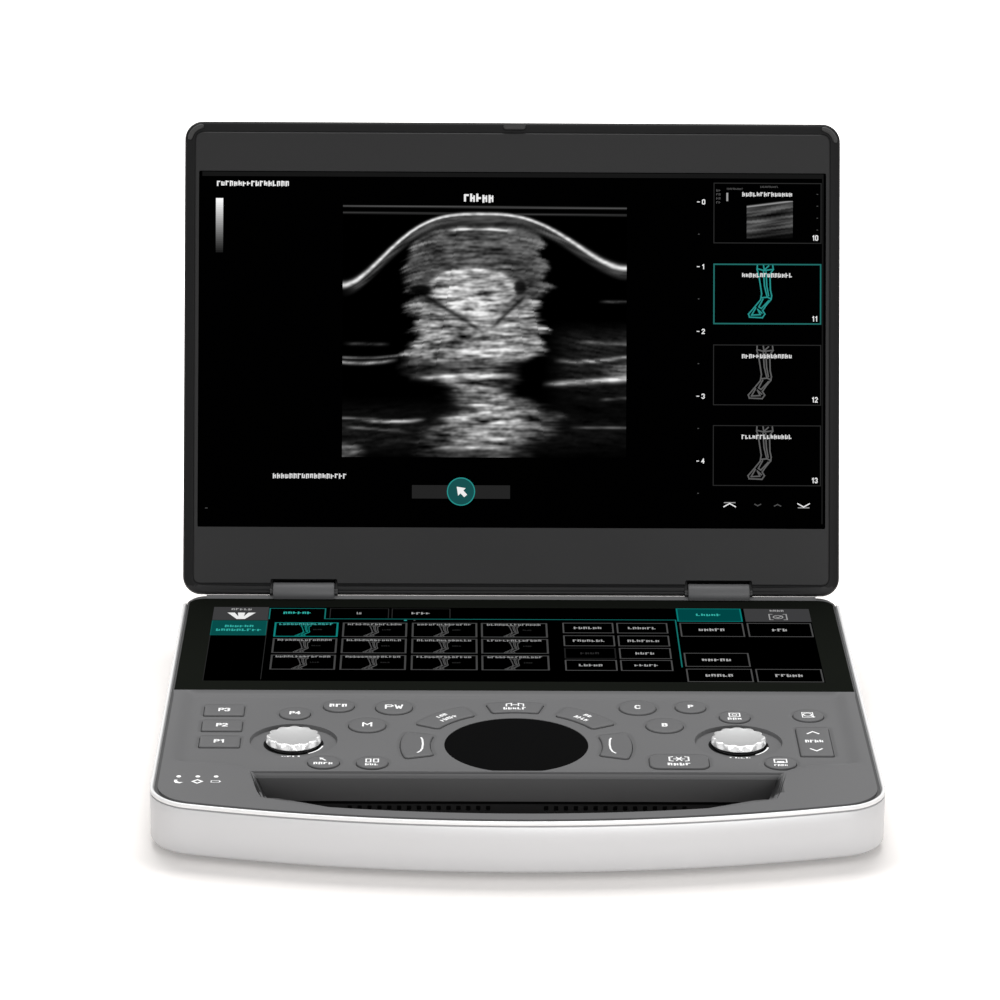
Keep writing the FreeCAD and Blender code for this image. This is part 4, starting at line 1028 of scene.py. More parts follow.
class Canvas:
    """Flat coloured shapes in one plane, each a little above the one before."""

    def __init__(self, level, shift=(0, 0), turn=0.0):
        self.level, self.shift, self.turn = level, shift, turn
        self.verts, self.faces, self.paint = [], [], []

    def poly(self, points, colour=WHITE, layer=1):
        start = len(self.verts)
        cos, sin = math.cos(self.turn), math.sin(self.turn)
        for x, y in points:
            self.verts.append((self.shift[0] + x * cos - y * sin, self.shift[1] + x * sin + y * cos,
                               self.level + LAYER * layer))
            self.paint.append(colour)
        self.faces.append(tuple(range(start, len(self.verts))))

    def rect(self, x0, y0, x1, y1, colour=WHITE, layer=1):
        self.poly([(x0, y0), (x1, y0), (x1, y1), (x0, y1)], colour, layer)

    def line(self, points, width, colour=WHITE, layer=2, closed=False):
        loop = [*points, points[0]] if closed else points
        for (x0, y0), (x1, y1) in zip(loop, loop[1:]):
            size = math.hypot(x1 - x0, y1 - y0) or 1e-6
            ux, uy = (x1 - x0) / size * width / 2, (y1 - y0) / size * width / 2
            self.poly([(x0 - ux + uy, y0 - uy - ux), (x1 + ux + uy, y1 + uy - ux),
                       (x1 + ux - uy, y1 + uy + ux), (x0 - ux - uy, y0 - uy + ux)], colour, layer)

    def frame(self, x0, y0, x1, y1, width, colour, layer=2):
        self.rect(x0, y0, x1, y0 + width, colour, layer)
        self.rect(x0, y1 - width, x1, y1, colour, layer)
        self.rect(x0, y0 + width, x0 + width, y1 - width, colour, layer)
        self.rect(x1 - width, y0 + width, x1, y1 - width, colour, layer)

    def text(self, characters, x, y, wide, high, bold, colour=WHITE, layer=3):
        """Generic digits and mode letters, centred on a point."""
        gap = wide * 0.42
        left = x - (len(characters) * (wide + gap) - gap) / 2
        for character in characters:
            for stroke in STROKES[character]:
                self.line([(left + px / 4 * wide, y - high / 2 + py / 6 * high) for px, py in stroke], bold,
                          colour, layer)
            left += wide + gap

    def word(self, x, y, wide, high, colour=WHITE, layer=3, cells=None):
        """A label whose letters are only little blocks, centred on a point."""
        cells = cells or max(2, round(wide / (high * 0.75)))
        pitch = wide / cells
        for i in range(cells):
            x0 = x - wide / 2 + i * pitch
            top, foot = RNG.choice([0.5, 0.36]), RNG.choice([0.5, 0.5, 0.38])
            self.rect(x0, y - high * foot, x0 + pitch * 0.34, y + high * top, colour, layer)
            bar = RNG.choice([-0.42, -0.1, 0.22])
            self.rect(x0, y + high * bar, x0 + pitch * 0.78, y + high * (bar + 0.22), colour, layer)
            if RNG.random() < 0.6:
                self.rect(x0 + pitch * 0.52, y - high * 0.42, x0 + pitch * 0.78, y + high * 0.3, colour,
                          layer)

    def grid(self, x0, y0, x1, y1, values, tint=(1, 1, 1), layer=1):
        """A picture of smooth grey values, first row on top."""
        rows, columns = values.shape
        start = len(self.verts)
        for row in range(rows):
            for column in range(columns):
                self.verts.append((x0 + (x1 - x0) * column / (columns - 1),
                                   y1 - (y1 - y0) * row / (rows - 1), self.level + LAYER * layer))
                self.paint.append(tuple(float(values[row, column]) * c for c in tint))
        for row in range(rows - 1):
            for column in range(columns - 1):
                a = start + row * columns + column
                self.faces.append((a + columns, a + columns + 1, a + 1, a))

    def make(self, name, look, body, place=BASE):
        """The canvas as a piece riding on a body."""
        mesh = bpy.data.meshes.new(name)
        mesh.from_pydata(self.verts, [], self.faces)
        mesh.transform(place)
        if look == GLOW:
            paint = mesh.attributes.new("paint", "FLOAT_COLOR", "POINT")
            shades = [(*[linear(c) for c in colour], 1.0) for colour in self.paint]
            paint.data.foreach_set("color", np.array(shades, dtype=np.float32).ravel())
        mesh.materials.append(look)
        obj = placed(name, mesh)
        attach(obj, body)


def soft_noise(rows, columns, down, across):
    """Random grey streaks, smoothed by a number of cells down and across."""
    field = np.fft.rfft2(RNG.standard_normal((rows, columns)))
    fy, fx = np.fft.fftfreq(rows)[:, None], np.fft.rfftfreq(columns)[None, :]
    blur = np.exp(-2 * math.pi ** 2 * ((fy * down) ** 2 + (fx * across) ** 2))
    field = np.fft.irfft2(field * blur, (rows, columns))
    return (field - field.mean()) / field.std()


def skin_line(u):
    """The depth of the skin along the picture: a hump, steeper on its left."""
    left = 0.284 * smooth_step((np.clip(0.5 - u, 0, 1) / 0.5) ** 1.7)
    right = 0.214 * smooth_step((np.clip(u - 0.5, 0, 1) / 0.5) ** 1.4)
    return 0.032 + np.where(u < 0.5, left, right)


def blob(u, v, cu, cv, ru, rv, soft=0.5):
    reach = np.hypot((u - cu) / ru, (v - cv) / rv)
    return smooth_step((1 + soft / 2 - reach) / soft)


def streak(u, v, u0, v0, u1, v1, thick, sag=0.0):
    """A bright echo between two places, thinning out at its ends."""
    t = (u - u0) / (u1 - u0)
    middle = v0 + (v1 - v0) * t + sag * 4 * t * (1 - t)
    ends = np.clip(t * 5, 0, 1) * np.clip((1 - t) * 5, 0, 1)
    return np.exp(-((v - middle) / thick) ** 2) * ends * ((t > 0) & (t < 1))


def tendon_picture(rows=236, columns=266):
    """An ultrasound slice through tendons: skin, fibres, a bright oval, shadows and echoes below."""
    v, u = np.mgrid[0:1:rows * 1j, 0:1:columns * 1j]
    skin = skin_line(u)
    depth = v - skin
    fine, coarse = soft_noise(rows, columns, 0.85, 4.6), soft_noise(rows, columns, 3.0, 8.0)
    grain = soft_noise(rows, columns, 0.8, 1.4)
    sag = 0.75 * (skin - 0.032) * np.exp(-np.maximum(depth, 0) / 0.3)
    shift = np.clip((sag * rows).round(), 0, rows).astype(int)
    row = np.clip(np.arange(rows)[:, None] - shift, 0, rows - 1)
    column = np.arange(columns)[None, :].repeat(rows, 0)
    fine, coarse = fine[row, column], coarse[row, column]
    texture = 0.74 + 0.19 * fine + 0.05 * coarse + 0.07 * grain
    left_side = 0.225 + 0.015 * np.sin(v * 17) + 0.13 * ramp(v, 0.66, 0.08) \
        - 0.1 * ramp(v, 0.82, 0.08)
    right_side = 0.715 + 0.015 * np.sin(v * 23 + 1) - 0.1 * ramp(v, 0.57, 0.08) \
        + 0.13 * ramp(v, 0.74, 0.06) - 0.08 * ramp(v, 0.9, 0.1)
    ragged = 0.012 * coarse + 0.006 * fine
    soft = 0.04 + 0.09 * ramp(v, 0.5, 0.2)
    inner = smooth_step((u - left_side + ragged) / soft + 0.2)
    inner = inner * smooth_step((right_side - u + ragged) / soft + 0.2)
    body = inner * (0.36 * ramp(depth, 0.03, 0.03))
    body += inner * 0.27 * ramp(v, 0.36, 0.05) * ramp(v, 0.66, -0.07)
    oval = blob(u, v, 0.455, 0.335, 0.155, 0.088, 0.16)
    body += (0.38 - 0.2 * ramp(v, 0.36, 0.05)) * oval * inner
    wedge = smooth_step((0.155 * (1 - (v - 0.36) / 0.2) - np.abs(u - 0.475)) / 0.04)
    body += 0.08 * wedge * (v > 0.36) * (v < 0.53) * inner
    body *= 1 - 0.62 * streak(u, v, 0.25, 0.33, 0.52, 0.52, 0.012)
    body *= 1 - 0.6 * streak(u, v, 0.52, 0.49, 0.66, 0.34, 0.012)
    body *= 1 - 0.85 * blob(u, v, 0.275, 0.335, 0.04, 0.018, 0.7)
    body *= 1 - 0.7 * blob(u, v, 0.625, 0.325, 0.02, 0.03, 0.7)
    body *= 1 - 0.45 * ramp(v, 0.59, 0.05) * ramp(v, 0.68, -0.03)
    body *= 1 - 0.45 * ramp(v, 0.88, 0.12)
    body += inner * 0.22 * blob(u, v, 0.5, 0.79, 0.13, 0.19, 1.1)
    echoes = np.zeros(u.shape)
    for u0, v0, u1, v1, thick, power, sag in (
            (0.36, 0.1, 0.62, 0.102, 0.005, 0.62, -0.006), (0.23, 0.69, 0.6, 0.675, 0.008, 0.5, -0.003),
            (-0.05, 0.6, 0.24, 0.59, 0.005, 0.5, 0.012), (-0.05, 0.618, 0.2, 0.612, 0.007, 0.7, 0.012),
            (0.0, 0.55, 0.17, 0.553, 0.006, 0.25, 0.0), (0.06, 0.855, 0.3, 0.85, 0.007, 0.65, 0.006),
            (-0.03, 0.845, 0.14, 0.85, 0.005, 0.35, 0.0), (0.0, 0.88, 0.25, 0.9, 0.006, 0.3, 0.0),
            (0.7, 0.71, 1.08, 0.68, 0.011, 0.8, 0.0), (0.74, 0.615, 1.06, 0.59, 0.008, 0.55, 0.012),
            (0.82, 0.54, 1.06, 0.55, 0.008, 0.3, 0.0), (0.9, 0.38, 1.04, 0.38, 0.005, 0.35, 0.0),
            (0.8, 0.88, 1.1, 0.88, 0.005, 0.3, 0.0), (0.9, 0.77, 1.05, 0.76, 0.006, 0.25, 0.0),
            (0.0, 0.16, 0.15, 0.12, 0.012, 0.15, 0.0), (0.5, 0.865, 0.64, 0.865, 0.005, 0.3, 0.0),
            (0.44, 0.79, 0.62, 0.8, 0.006, 0.3, 0.0), (0.36, 0.94, 0.6, 0.925, 0.006, 0.3, 0.0),
            (0.32, 0.96, 0.6, 0.965, 0.006, 0.3, 0.0), (0.38, 0.735, 0.48, 0.735, 0.005, 0.35, 0.0)):
        echoes = np.maximum(echoes, power * streak(u, v, u0, v0, u1, v1, thick, sag))
    haze = 0.13 * ramp(v, 0.45, 0.1) * ramp(u, 0.7, 0.15) * ramp(v, 0.85, -0.2)
    haze += 0.10 * ramp(v, 0.75, 0.15) * ramp(v, 1.02, -0.1) * (1 - 0.5 * u)
    haze += 0.3 * blob(u, v, 0.0, 0.98, 0.07, 0.035, 0.9) + 0.3 * blob(u, v, 1.02, 0.65, 0.09, 0.03, 0.9)
    image = (body + haze) * np.clip(texture, 0, 1.6) * 1.12 + echoes * (0.8 + 0.15 * fine)
    fold = 0.013 + 0.012 * smooth_step((np.abs(u - 0.5) - 0.15) / 0.3)
    image = np.where(depth < 0, 0.0, image)
    under = ramp(depth, 0.055, -0.03) * smooth_step((depth + 0.002) / 0.01)
    image = image * (1 - under) + under * (0.26 + 0.05 * fine) * smooth_step((u + 0.02) / 0.1)
    line = np.exp(-((depth - 0.002) / (fold * 0.5)) ** 2)
    image = np.maximum(image, line * (0.9 + 0.06 * grain))
    for level, power, tilt in ((0.003, 0.34, 0.006), (0.03, 0.24, 0.006)):
        image = np.maximum(image, power * np.exp(-((v - level - tilt * u) / 0.0035) ** 2))
    return np.clip(image, 0, 0.97)


def fibre_picture(rows=60, columns=72):
    """A small slice along a tendon: parallel slanting fibres under a bright skin line."""
    v, u = np.mgrid[0:1:rows * 1j, 0:1:columns * 1j]
    slope = 0.16 * (1 - u)
    streaks = soft_noise(rows * 2, columns, 1.2, 16)
    row = (np.arange(rows)[:, None] - (slope * rows).round()).astype(int)
    row = np.clip(row + rows // 2, 0, 2 * rows - 1)
    texture = streaks[row, np.arange(columns)[None, :].repeat(rows, 0)]
    image = (0.26 + 0.1 * texture) * smooth_step((1.05 - v + slope) / 0.5) * (v > slope)
    image = np.maximum(image, 0.62 * np.exp(-((v - slope) / 0.028) ** 2))
    return np.clip(image * (v > slope - 0.06), 0, 0.9)


LEG = [
    [(-3.2, 10), (-3.3, 8.4), (-2.6, 6), (-1.5, -1), (-1.9, -3.4), (-4.2, -6.2), (-6.6, -9), (-6.2, -10.2),
     (-1.2, -10.4), (-0.2, -9), (-1.1, -7.6), (0.4, -5.4), (2.2, -3.2), (2.4, -1.8), (1.9, 0.5), (1.7, 6.6),
     (3.0, 8.4), (2.8, 10)],
    [(-0.8, 7.4), (-0.4, 2), (0.6, -2.2)], [(0.2, 7.4), (0.5, 2), (1.2, -1.8)],
    [(-2.8, 8.6), (-0.6, 8.0), (2.4, 8.4)],
    [(-0.8, 10), (-0.5, 8.2), (1.2, 9.8)], [(-1.3, -2.6), (0.8, -2.4), (1.8, -2.9)],
    [(-1.0, -3.2), (-2.6, -6.2), (-1.6, -6.8), (1.2, -3.8)],
    [(-3.8, -6.6), (-5.4, -9.4), (-2.0, -9.2), (-3.0, -7.2), (-1.4, -8.6)],
]


def leg(canvas, x, y, size, width, colour):
    """The outline of a horse's lower leg with its bones."""
    for stroke in LEG:
        canvas.line([(x + px * size, y + py * size) for px, py in stroke], width, colour)


def display_graphics():
    """The main picture, the depth scale, the thumbnails and the touch pointer."""
    canvas = Canvas(-0.38)
    canvas.rect(-171.6, 231.2, 172.0, 233.7, (0.09, 0.09, 0.09))
    canvas.rect(171.2, 40.0, 172.0, 233.7, (0.09, 0.09, 0.09))
    canvas.word(-143.4, 227.2, 40.2, 3.0, WHITE, cells=17)
    canvas.word(-18.5, 219.6, 17.0, 5.0, WHITE, cells=5)
    for i in range(24):
        shade = 1 - i / 26
        canvas.rect(-164.0, 219.0 - 30 * (i + 1) / 24, -160.0, 219.0 - 30 * i / 24, (shade, shade, shade))
    canvas.grid(-93.8, 76.2, 63.1, 215.5, tendon_picture())
    for mark in range(5):
        level = 218.1 - mark * 35.85
        canvas.text("-", 102.9, level, 1.3, 2.2, 0.5)
        canvas.text(str(mark), 105.6, level, 1.3, 2.3, 0.5)
        canvas.rect(102.6, level - 18.1, 103.4, level - 17.6, DIM)
    for i, low in enumerate((195.2, 150.4, 105.6, 61.0)):
        high = low + 33.6
        active = i == 1
        canvas.frame(111.1, low, 170.9, high, *((0.75, (0.14, 0.42, 0.40)) if active else (0.5, FAINT)))
        if i:
            leg(canvas, 140.0, low + 18.5, 1.42, 0.75, TEAL if active else (0.36, 0.36, 0.36))
        else:
            canvas.grid(129.5, 198.0, 155.0, 218.8, fibre_picture())
            canvas.word(142.0, 226.6, 10, 1.1, DIM)
            canvas.word(123.0, 225.4, 9, 1.1, DIM)
            canvas.rect(118.2, 218.6, 119.2, 223.2, SOFT)
            for k in range(4):
                canvas.word(113.9, 224.5 - k * 2.2, 2.6, 1.3, DIM, cells=2)
                canvas.rect(168.2, 222.4 - 6.6 * k, 169.0, 222.8 - 6.6 * k, DIM)
        canvas.word(141.0, high - 6.4, 28.0, 2.5, PALE, cells=14, layer=4)
        canvas.text(f"1{i}", 167.4, low + 3.2, 1.2, 2.5, 0.5)
    for x, points in ((120.5, [(-3.2, -0.9), (0, 0.9), (3.2, -0.9)]),
                      (136.0, [(-1.6, 0.5), (0, -0.3), (1.6, 0.5)]),
                      (147.0, [(-1.7, -0.4), (0, 0.4), (1.7, -0.4)]),
                      (161.4, [(-3.2, 0.9), (0, -0.9), (3.2, 0.9)])):
        canvas.line([(x + px, 50.4 + py) for px, py in points], 0.6, WHITE if abs(points[0][0]) > 2 else DIM)
    canvas.rect(117.3, 51.5, 123.7, 52.0, SOFT)
    canvas.rect(158.2, 48.8, 164.6, 49.3, SOFT)
    canvas.word(-111.4, 65.6, 41.0, 2.8, PALE, cells=18)
    canvas.rect(-55.1, 53.4, -0.9, 60.8, (0.14, 0.14, 0.14))
    canvas.poly(ring(-28.0, 57.3, 7.8, 48), TEAL, 2)
    canvas.poly(ring(-28.0, 57.3, 7.2, 48), (0.09, 0.31, 0.31), 3)
    canvas.poly([(-30.4, 60.0), (-25.4, 59.2), (-26.7, 57.9), (-24.6, 55.6), (-26.2, 54.2), (-28.3, 56.3),
                 (-29.6, 55.0)], WHITE, 4)
    canvas.rect(-169.2, 47.5, -167.8, 47.9, DIM)
    canvas.make("display_graphics", GLOW, "lid", LID)


def touch_graphics():
    """The touch strip: probe tile, tabs, a grid of leg views and rows of buttons."""
    canvas = Canvas(DECK + 0.02)
    x0, y0, x1, y1 = TOUCH
    canvas.rect(x0, y0, x1, y1, (0.0, 0.0, 0.0), 0)
    canvas.rect(x0, y0, x0 + 0.4, y1 - 21, FAINT, 1)
    canvas.rect(x0, 129.0, -132.9, y1, TILE)
    canvas.word(-147.6, 145.9, 11.5, 3.4, SOFT)
    for lean in (-1, 0, 1):
        foot = -147.6 + lean * 1.1
        head = foot + lean * 4.6
        canvas.poly([(foot - 1.1, 130.6), (foot + 1.1, 130.6), (head + 2.0, 140.6), (head - 2.0, 140.6)],
                    WHITE, 3)
    canvas.rect(x0, 105.6, -132.9, 128.2, TEAL_FILL)
    canvas.frame(x0, 105.6, -132.9, 128.2, 0.5, (0.05, 0.38, 0.36))
    canvas.word(-147.6, 119.6, 16, 3.6, MINT)
    canvas.word(-147.6, 113.8, 25, 3.6, MINT)
    canvas.rect(-132.9, 40, -132.5, 131.5, FAINT, 1)
    canvas.line([(-132.2, 131.0), (-132.2, 147.6), (-101.9, 147.6), (-101.9, 131.4), (89.0, 131.4),
                 (89.0, 60)], 0.7, (0.09, 0.44, 0.42))
    canvas.word(-117.0, 140.6, 15.5, 3.6, MINT)
    for left, right, wide in ((-99.2, -67.4, 2.8), (-65.4, -33.8, 10.5)):
        canvas.line([(left, 133.0), (left, 147.6), (right, 147.6), (right, 133.0)], 0.5, FAINT)
        canvas.word((left + right) / 2, 140.4, wide, 3.6, SOFT)
    canvas.rect(-58.8, 128.6, -57.2, 130.4, TEAL)
    canvas.rect(-53.6, 128.9, -52.6, 130.2, DIM)
    for row, (low, high) in enumerate(((103.6, 125.6), (79.0, 101.2), (54.4, 76.2))):
        for column, left in enumerate((-128.8, -91.9, -54.4, -17.0)):
            right = left + (34.6, 35.0, 35.4, 36.0)[column]
            x, y = (left + right) / 2, (low + high) / 2
            edge, label, drawing = [(shade,) * 3 for shade in (0.27, 0.55, 0.33)]
            if row == column == 0:
                edge, label, drawing = (0.07, 0.50, 0.48), (0.25, 0.62, 0.60), (0.08, 0.50, 0.47)
            canvas.frame(left, low, right, high, 1.0, edge)
            canvas.word(x, high - 2.6, 29.5, 2.9, label, cells=14)
            leg(canvas, x, y - 1.6, 0.86, 0.5, drawing)
            canvas.word(right - 11.0, y, 5, 1.8, FAINT)
    for row, (low, high) in enumerate(((110.6, 126.4), (90.8, 107.0), (72.0, 88.0), (54.2, 70.0))):
        for column, (left, right) in enumerate(((27.2, 54.8), (56.5, 84.2))):
            off = row == 2 and column == 0
            canvas.frame(left, low, right, high, 0.8, (0.12, 0.12, 0.12) if off else DIM)
            canvas.word((left + right) / 2, (low + high) / 2, (15.5, 17.5, 10.5, 13.0)[row], 3.4,
                        FAINT if off else SOFT)
    canvas.rect(90.0, 129.2, 125.6, y1, (0.0, 0.27, 0.27))
    canvas.frame(90.0, 129.2, 125.6, y1, 0.8, (0.03, 0.48, 0.46))
    canvas.word(107.6, 139.6, 14, 3.8, MINT)
    canvas.rect(127.2, 129.2, x1, y1, TILE)
    canvas.word(145.4, 146.4, 8, 3.0, SOFT)
    for inner, outer in ((142.2, 140.6), (148.4, 150.0)):
        canvas.line([(inner, 141.0), (outer, 141.0), (outer, 132.4), (inner, 132.4)], 0.7, SOFT)
    canvas.line(ring(145.3, 136.6, 2.6, 12), 0.7, SOFT, closed=True)
    canvas.line([(144.2, 136.8), (145.2, 135.4), (147.4, 138.6)], 0.7, SOFT)
    for left, right, low, high, wide in (
            (90.8, 125.4, 105.8, 127.0, 14.5), (127.4, 162.4, 105.8, 127.0, 8.5),
            (90.8, 125.4, 60.6, 81.0, 16), (90.8, 125.6, 38.4, 57.4, 15), (127.4, 162.4, 38.4, 57.4, 15)):
        canvas.frame(left, low, right, high, 0.8, DIM)
        canvas.word((left + right) / 2, (low + high) / 2, wide, 4.0, (0.66, 0.66, 0.66))
    canvas.make("touch_graphics", GLOW, "base")


LETTERS = {
    "key_preset_four": ("P4", 2.0, 3.3),
    "key_preset_three": ("P3", 2.1, 3.6),
    "key_preset_two": ("P2", 2.1, 3.6),
    "key_preset_one": ("P1", 2.1, 3.6),
    "key_pulsed_wave": ("PW", 3.5, 4.8),
    "key_motion_mode": ("M", 4.2, 4.8),
    "key_colour_mode": ("C", 2.2, 4.2),
    "key_brightness_mode": ("B", 2.0, 3.6),
    "key_power_mode": ("P", 1.9, 3.4),
}
BRACKET = ((3.2, 5.4), (4.8, 5.0), (4.8, 0.2), (3.2, -0.2))
HOOK = ((4.4, 0.4), (4.4, 3.6), (1.8, 4.6), (1.8, 1.2))
SPOKE = [(2.6 * math.cos(math.pi * i / 3), 2.6 * math.sin(math.pi * i / 3)) for i in range(3)]
LEGENDS = {
    "key_reset": [(Canvas.word, 0, 0, 9.6, 4.2)],
    "key_cursor": [(Canvas.poly, [(-2.2, 5.2), (0.2, 4.6), (-0.6, 3.9), (1.4, 1.9), (0.6, 1.3), (-1.2, 3.2),
                                  (-1.8, 2.4)]),
                   (Canvas.word, 0, -2.2, 10.0, 3.2)],
    "key_menu": [(Canvas.frame, -3.4, -0.6, -0.4, 4.2, 0.7, WHITE),
                 (Canvas.frame, 0.4, -0.6, 3.4, 4.2, 0.7, WHITE),
                 (Canvas.word, 0, -3.2, 7.0, 2.8)],
    "key_dual_view": [(Canvas.frame, -3.0, -0.4, 3.0, 4.8, 0.7, WHITE),
                      (Canvas.line, ring(0, 2.2, 1.2, 10), 0.5, WHITE, 2, True),
                      (Canvas.word, 0, -3.2, 7.6, 3.0)],
    "key_zoom": [(Canvas.line, ring(-0.4, 0.6, 2.1, 14), 0.6, WHITE, 2, True),
                 (Canvas.line, [(1.1, -0.9), (2.9, -2.7)], 0.8),
                 (Canvas.frame, -3.4, -3.4, 2.6, 3.8, 0.5, WHITE)],
    "key_save": [(Canvas.frame, -3.4, -0.6, 3.4, 4.6, 0.7, WHITE), (Canvas.rect, -1.8, -0.6, 1.8, 1.6),
                 (Canvas.word, 0, -3.6, 7.0, 2.6)],
    "key_freeze": [*[(Canvas.line, [(-x, 2.6 - y), (x, 2.6 + y)], 0.7) for x, y in SPOKE],
                   *[(Canvas.line, [(side * x, y) for x, y in BRACKET], 0.8) for side in (-1, 1)],
                   (Canvas.word, 0, -4.4, 12.0, 3.6)],
    "key_measure": [(Canvas.word, 0, 2.4, 7.0, 2.8), (Canvas.word, 0, -2.6, 11.0, 3.2)],
    "key_clear": [(Canvas.word, 0, 2.4, 5.0, 2.8), (Canvas.word, 0, -2.6, 9.0, 3.2)],
    "key_update": [*[(Canvas.line, [(side * x, y) for x, y in HOOK], 0.7) for side in (-1, 1)],
                   (Canvas.line, [(-0.9, 2.6), (0.9, 2.6)], 0.7), (Canvas.word, 0, -2.6, 12.0, 3.2)],
    "depth_rocker": [(Canvas.line, [(-2.8, 10.2), (0, 13.0), (2.8, 10.2)], 1.0),
                     (Canvas.line, [(-2.8, -10.2), (0, -13.0), (2.8, -10.2)], 1.0),
                     (Canvas.word, 0, 0, 9.6, 3.6)],
}


def key_legend(name, drawings):
    """Draws on a key, turned with the key where it stands in the ring."""
    turn = math.radians(sum(ARC_KEYS[name][:2]) / 2 - 90) if name in ARC_KEYS else 0.0
    canvas = Canvas(KEY_TOP + 0.01, key_middle(name), turn)
    for draw, *given in drawings:
        draw(canvas, *given)
    canvas.make(f"{name}_print", PRINT_GLOW, name)


def set_key_print(name, side):
    """The curved stroke on the key beside the touchpad."""
    canvas = Canvas(KEY_TOP + 0.01)
    curve = ((0.6, 8.4), (0, 6.0), (-0.3, 0), (0, -6.0), (0.9, -9.4), (2.2, -11.2))
    canvas.line([(side * (47.4 + out), PAD_Y + up) for out, up in curve], 0.9)
    canvas.make(f"{name}_print", PRINT_GLOW, name)


def key_prints():
    """The legends: mode letters and numbers, simple pictures, and blocks in place of words."""
    for name, (characters, wide, high) in LETTERS.items():
        key_legend(name, [(Canvas.text, characters, 0, 0, wide, high, 0.9)])
    for name, drawings in LEGENDS.items():
        if name == "depth_rocker":
            set_key_print("key_set_left", -1)
            set_key_print("key_set_right", 1)
        key_legend(name, drawings)


def panel_prints():
    """Knob labels with a painted highlight arc beside each knob, and the pictures over the lamps."""
    canvas = Canvas(DISH + 0.03)
    for side in (-1, 1):
        canvas.word(side * KNOB_X, KNOB_Y - 17.6, 11.0, 3.4)
        # Painted highlight: a white arc on the dish at each knob's lower right stands for the lit edge of a
        # rim round the knob's base.
        turns = [math.radians(-57 + 5 * i) for i in range(10)]
        canvas.line([(side * KNOB_X + 15.0 * math.cos(a), KNOB_Y + 15.0 * math.sin(a)) for a in turns], 0.9)
    canvas.make("knob_prints_and_highlights", PRINT_GLOW, "base")
    canvas = Canvas(DECK + 0.03)
    x, y = LAMP_X[0] + 0.4, LAMP_Y - 6.4
    canvas.poly([(x - 2.2, y + 2.2), (x - 0.8, y + 2.2), (x - 0.9, y + 0.4), (x + 0.4, y - 0.9),
                 (x + 2.3, y - 0.9), (x + 0.6, y - 2.4), (x - 1.4, y - 2.0), (x - 2.4, y - 0.2)])
    x = LAMP_X[1] + 0.1
    canvas.line([(x - 2.4, y), (x, y + 2.2), (x + 2.4, y), (x, y - 2.2)], 1.0, closed=True)
    x = LAMP_X[2] + 0.1
    canvas.frame(x - 2.4, y - 1.3, x + 2.0, y + 1.3, 0.4, WHITE)
    canvas.rect(x + 2.0, y - 0.5, x + 2.6, y + 0.5)
    canvas.make("lamp_prints", PRINT_GLOW, "base")


# ---------------------------------------------------------------- camera, light and floor

def camera():
    """The view of a person standing in front of the table, slightly to the left."""
    azimuth, elevation, roll = map(math.radians, (-0.682, 18.676, 0.441))
    distance, focal_length, sensor = 2100.35, 149.527, 36
    target = Vector((-8.63, PANEL_SHIFT, 143.09))
    back = Vector((math.sin(azimuth) * math.cos(elevation), -math.cos(azimuth) * math.cos(elevation),
                   math.sin(elevation)))
    level = Vector((math.cos(azimuth), math.sin(azimuth), 0))
    raised = back.cross(level)
    right = level * math.cos(roll) + raised * math.sin(roll)
    up = raised * math.cos(roll) - level * math.sin(roll)
    data = bpy.data.cameras.new("camera")
    data.sensor_width, data.lens = sensor, focal_length
    data.clip_start, data.clip_end = 0.05, 60
    eye = placed("camera", data)
    place = (target + back * distance) * MM
    eye.matrix_world = Matrix(((right.x, up.x, back.x, place.x), (right.y, up.y, back.y, place.y),
                               (right.z, up.z, back.z, place.z), (0, 0, 0, 1)))
    bpy.context.scene.camera = eye


def area_light(name, place, aim, size, power):
    data = bpy.data.lights.new(name, "AREA")
    data.shape = "RECTANGLE"
    data.size, data.size_y = size
    data.energy = power
    lamp = placed(name, data)
    lamp.location = place
    lamp.rotation_euler = (Vector(aim) - Vector(place)).to_track_quat("-Z", "Y").to_euler()


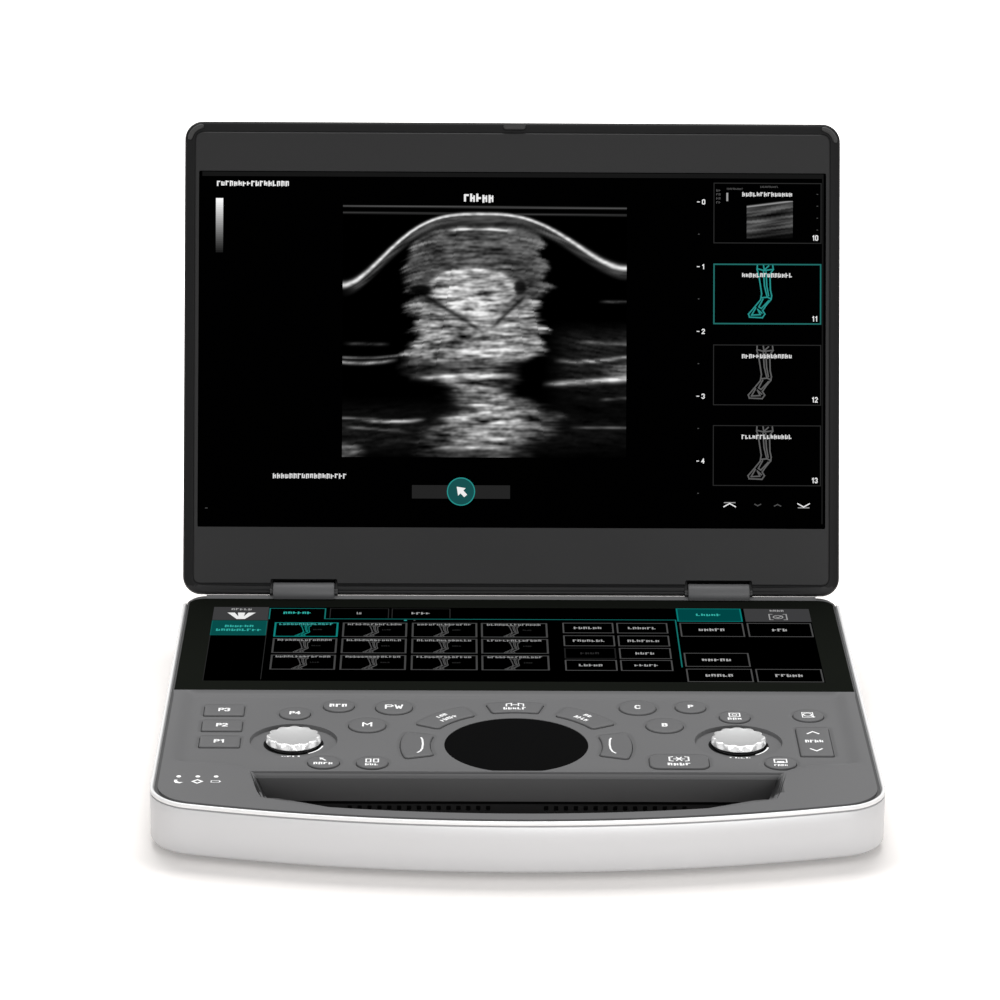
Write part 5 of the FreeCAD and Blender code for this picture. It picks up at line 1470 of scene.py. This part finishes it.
def stage():
    """A white floor that keeps the shadow, a white surround, and plain soft light."""
    world = bpy.data.worlds.new("surround")
    bpy.context.scene.world = world
    world.use_nodes = True
    tree = world.node_tree
    sky = fill(tree.nodes["Background"], Color=(1, 1, 1, 1), Strength=0.4)
    white = add(tree, "Background", Color=(1, 1, 1, 1), Strength=1.0)
    seen, pick, either = add(tree, "LightPath"), add(tree, "MixShader"), add(tree, "Math")
    either.operation = "MAXIMUM"
    wire(tree, (seen, "Is Camera Ray", either, 0), (seen, "Is Glossy Ray", either, 1),
         (either, "Value", pick, "Fac"), (sky, "Background", pick, 1), (white, "Background", pick, 2),
         (pick, "Shader", tree.nodes["World Output"], "Surface"))
    mesh = bpy.data.meshes.new("floor")
    mesh.from_pydata([(-6, -6, 0), (6, -6, 0), (6, 6, 0), (-6, 6, 0)], [], [(0, 1, 2, 3)])
    floor = placed("floor", mesh)
    look, tree, shader = plain("floor_white")
    fill(shader, Base_Color=(0.96, 0.925, 0.90, 1), Roughness=0.9, Specular_IOR_Level=0.0)
    # Painted light: for camera rays the floor glows, weakly near its middle and fully from 0.42 m out, which
    # whitens it round the scanner.
    path, glow, both = add(tree, "LightPath"), add(tree, "Emission"), add(tree, "AddShader")
    place, reach, lift = add(tree, "TexCoord"), add(tree, "VectorMath"), add(tree, "Math")
    reach.operation, lift.operation = "LENGTH", "MULTIPLY"
    spread = add(tree, "MapRange", From_Min=0.26, From_Max=0.42, To_Min=0.16, To_Max=1.0)
    wire(tree, (place, "Object", reach, 0), (reach, "Value", spread, "Value"), (spread, "Result", lift, 1),
         (path, "Is Camera Ray", lift, 0), (lift, "Value", glow, "Strength"), (shader, "BSDF", both, 0),
         (glow, "Emission", both, 1), (both, "Shader", tree.nodes["Material Output"], "Surface"))
    mesh.materials.append(look)
    area_light("overhead_softbox", (0.0, 0.95, 1.9), (0, -0.05, 0), (1.5, 0.9), 36)
    area_light("front_fill", (0.5, -2.2, 0.45), (0, 0, 0.05), (1.6, 0.7), 17)


dress_cad_nodes()
build_base()
build_lid()
display_graphics()
touch_graphics()
key_prints()
panel_prints()
camera()
stage()
bpy.context.scene.view_settings.view_transform = "Standard"
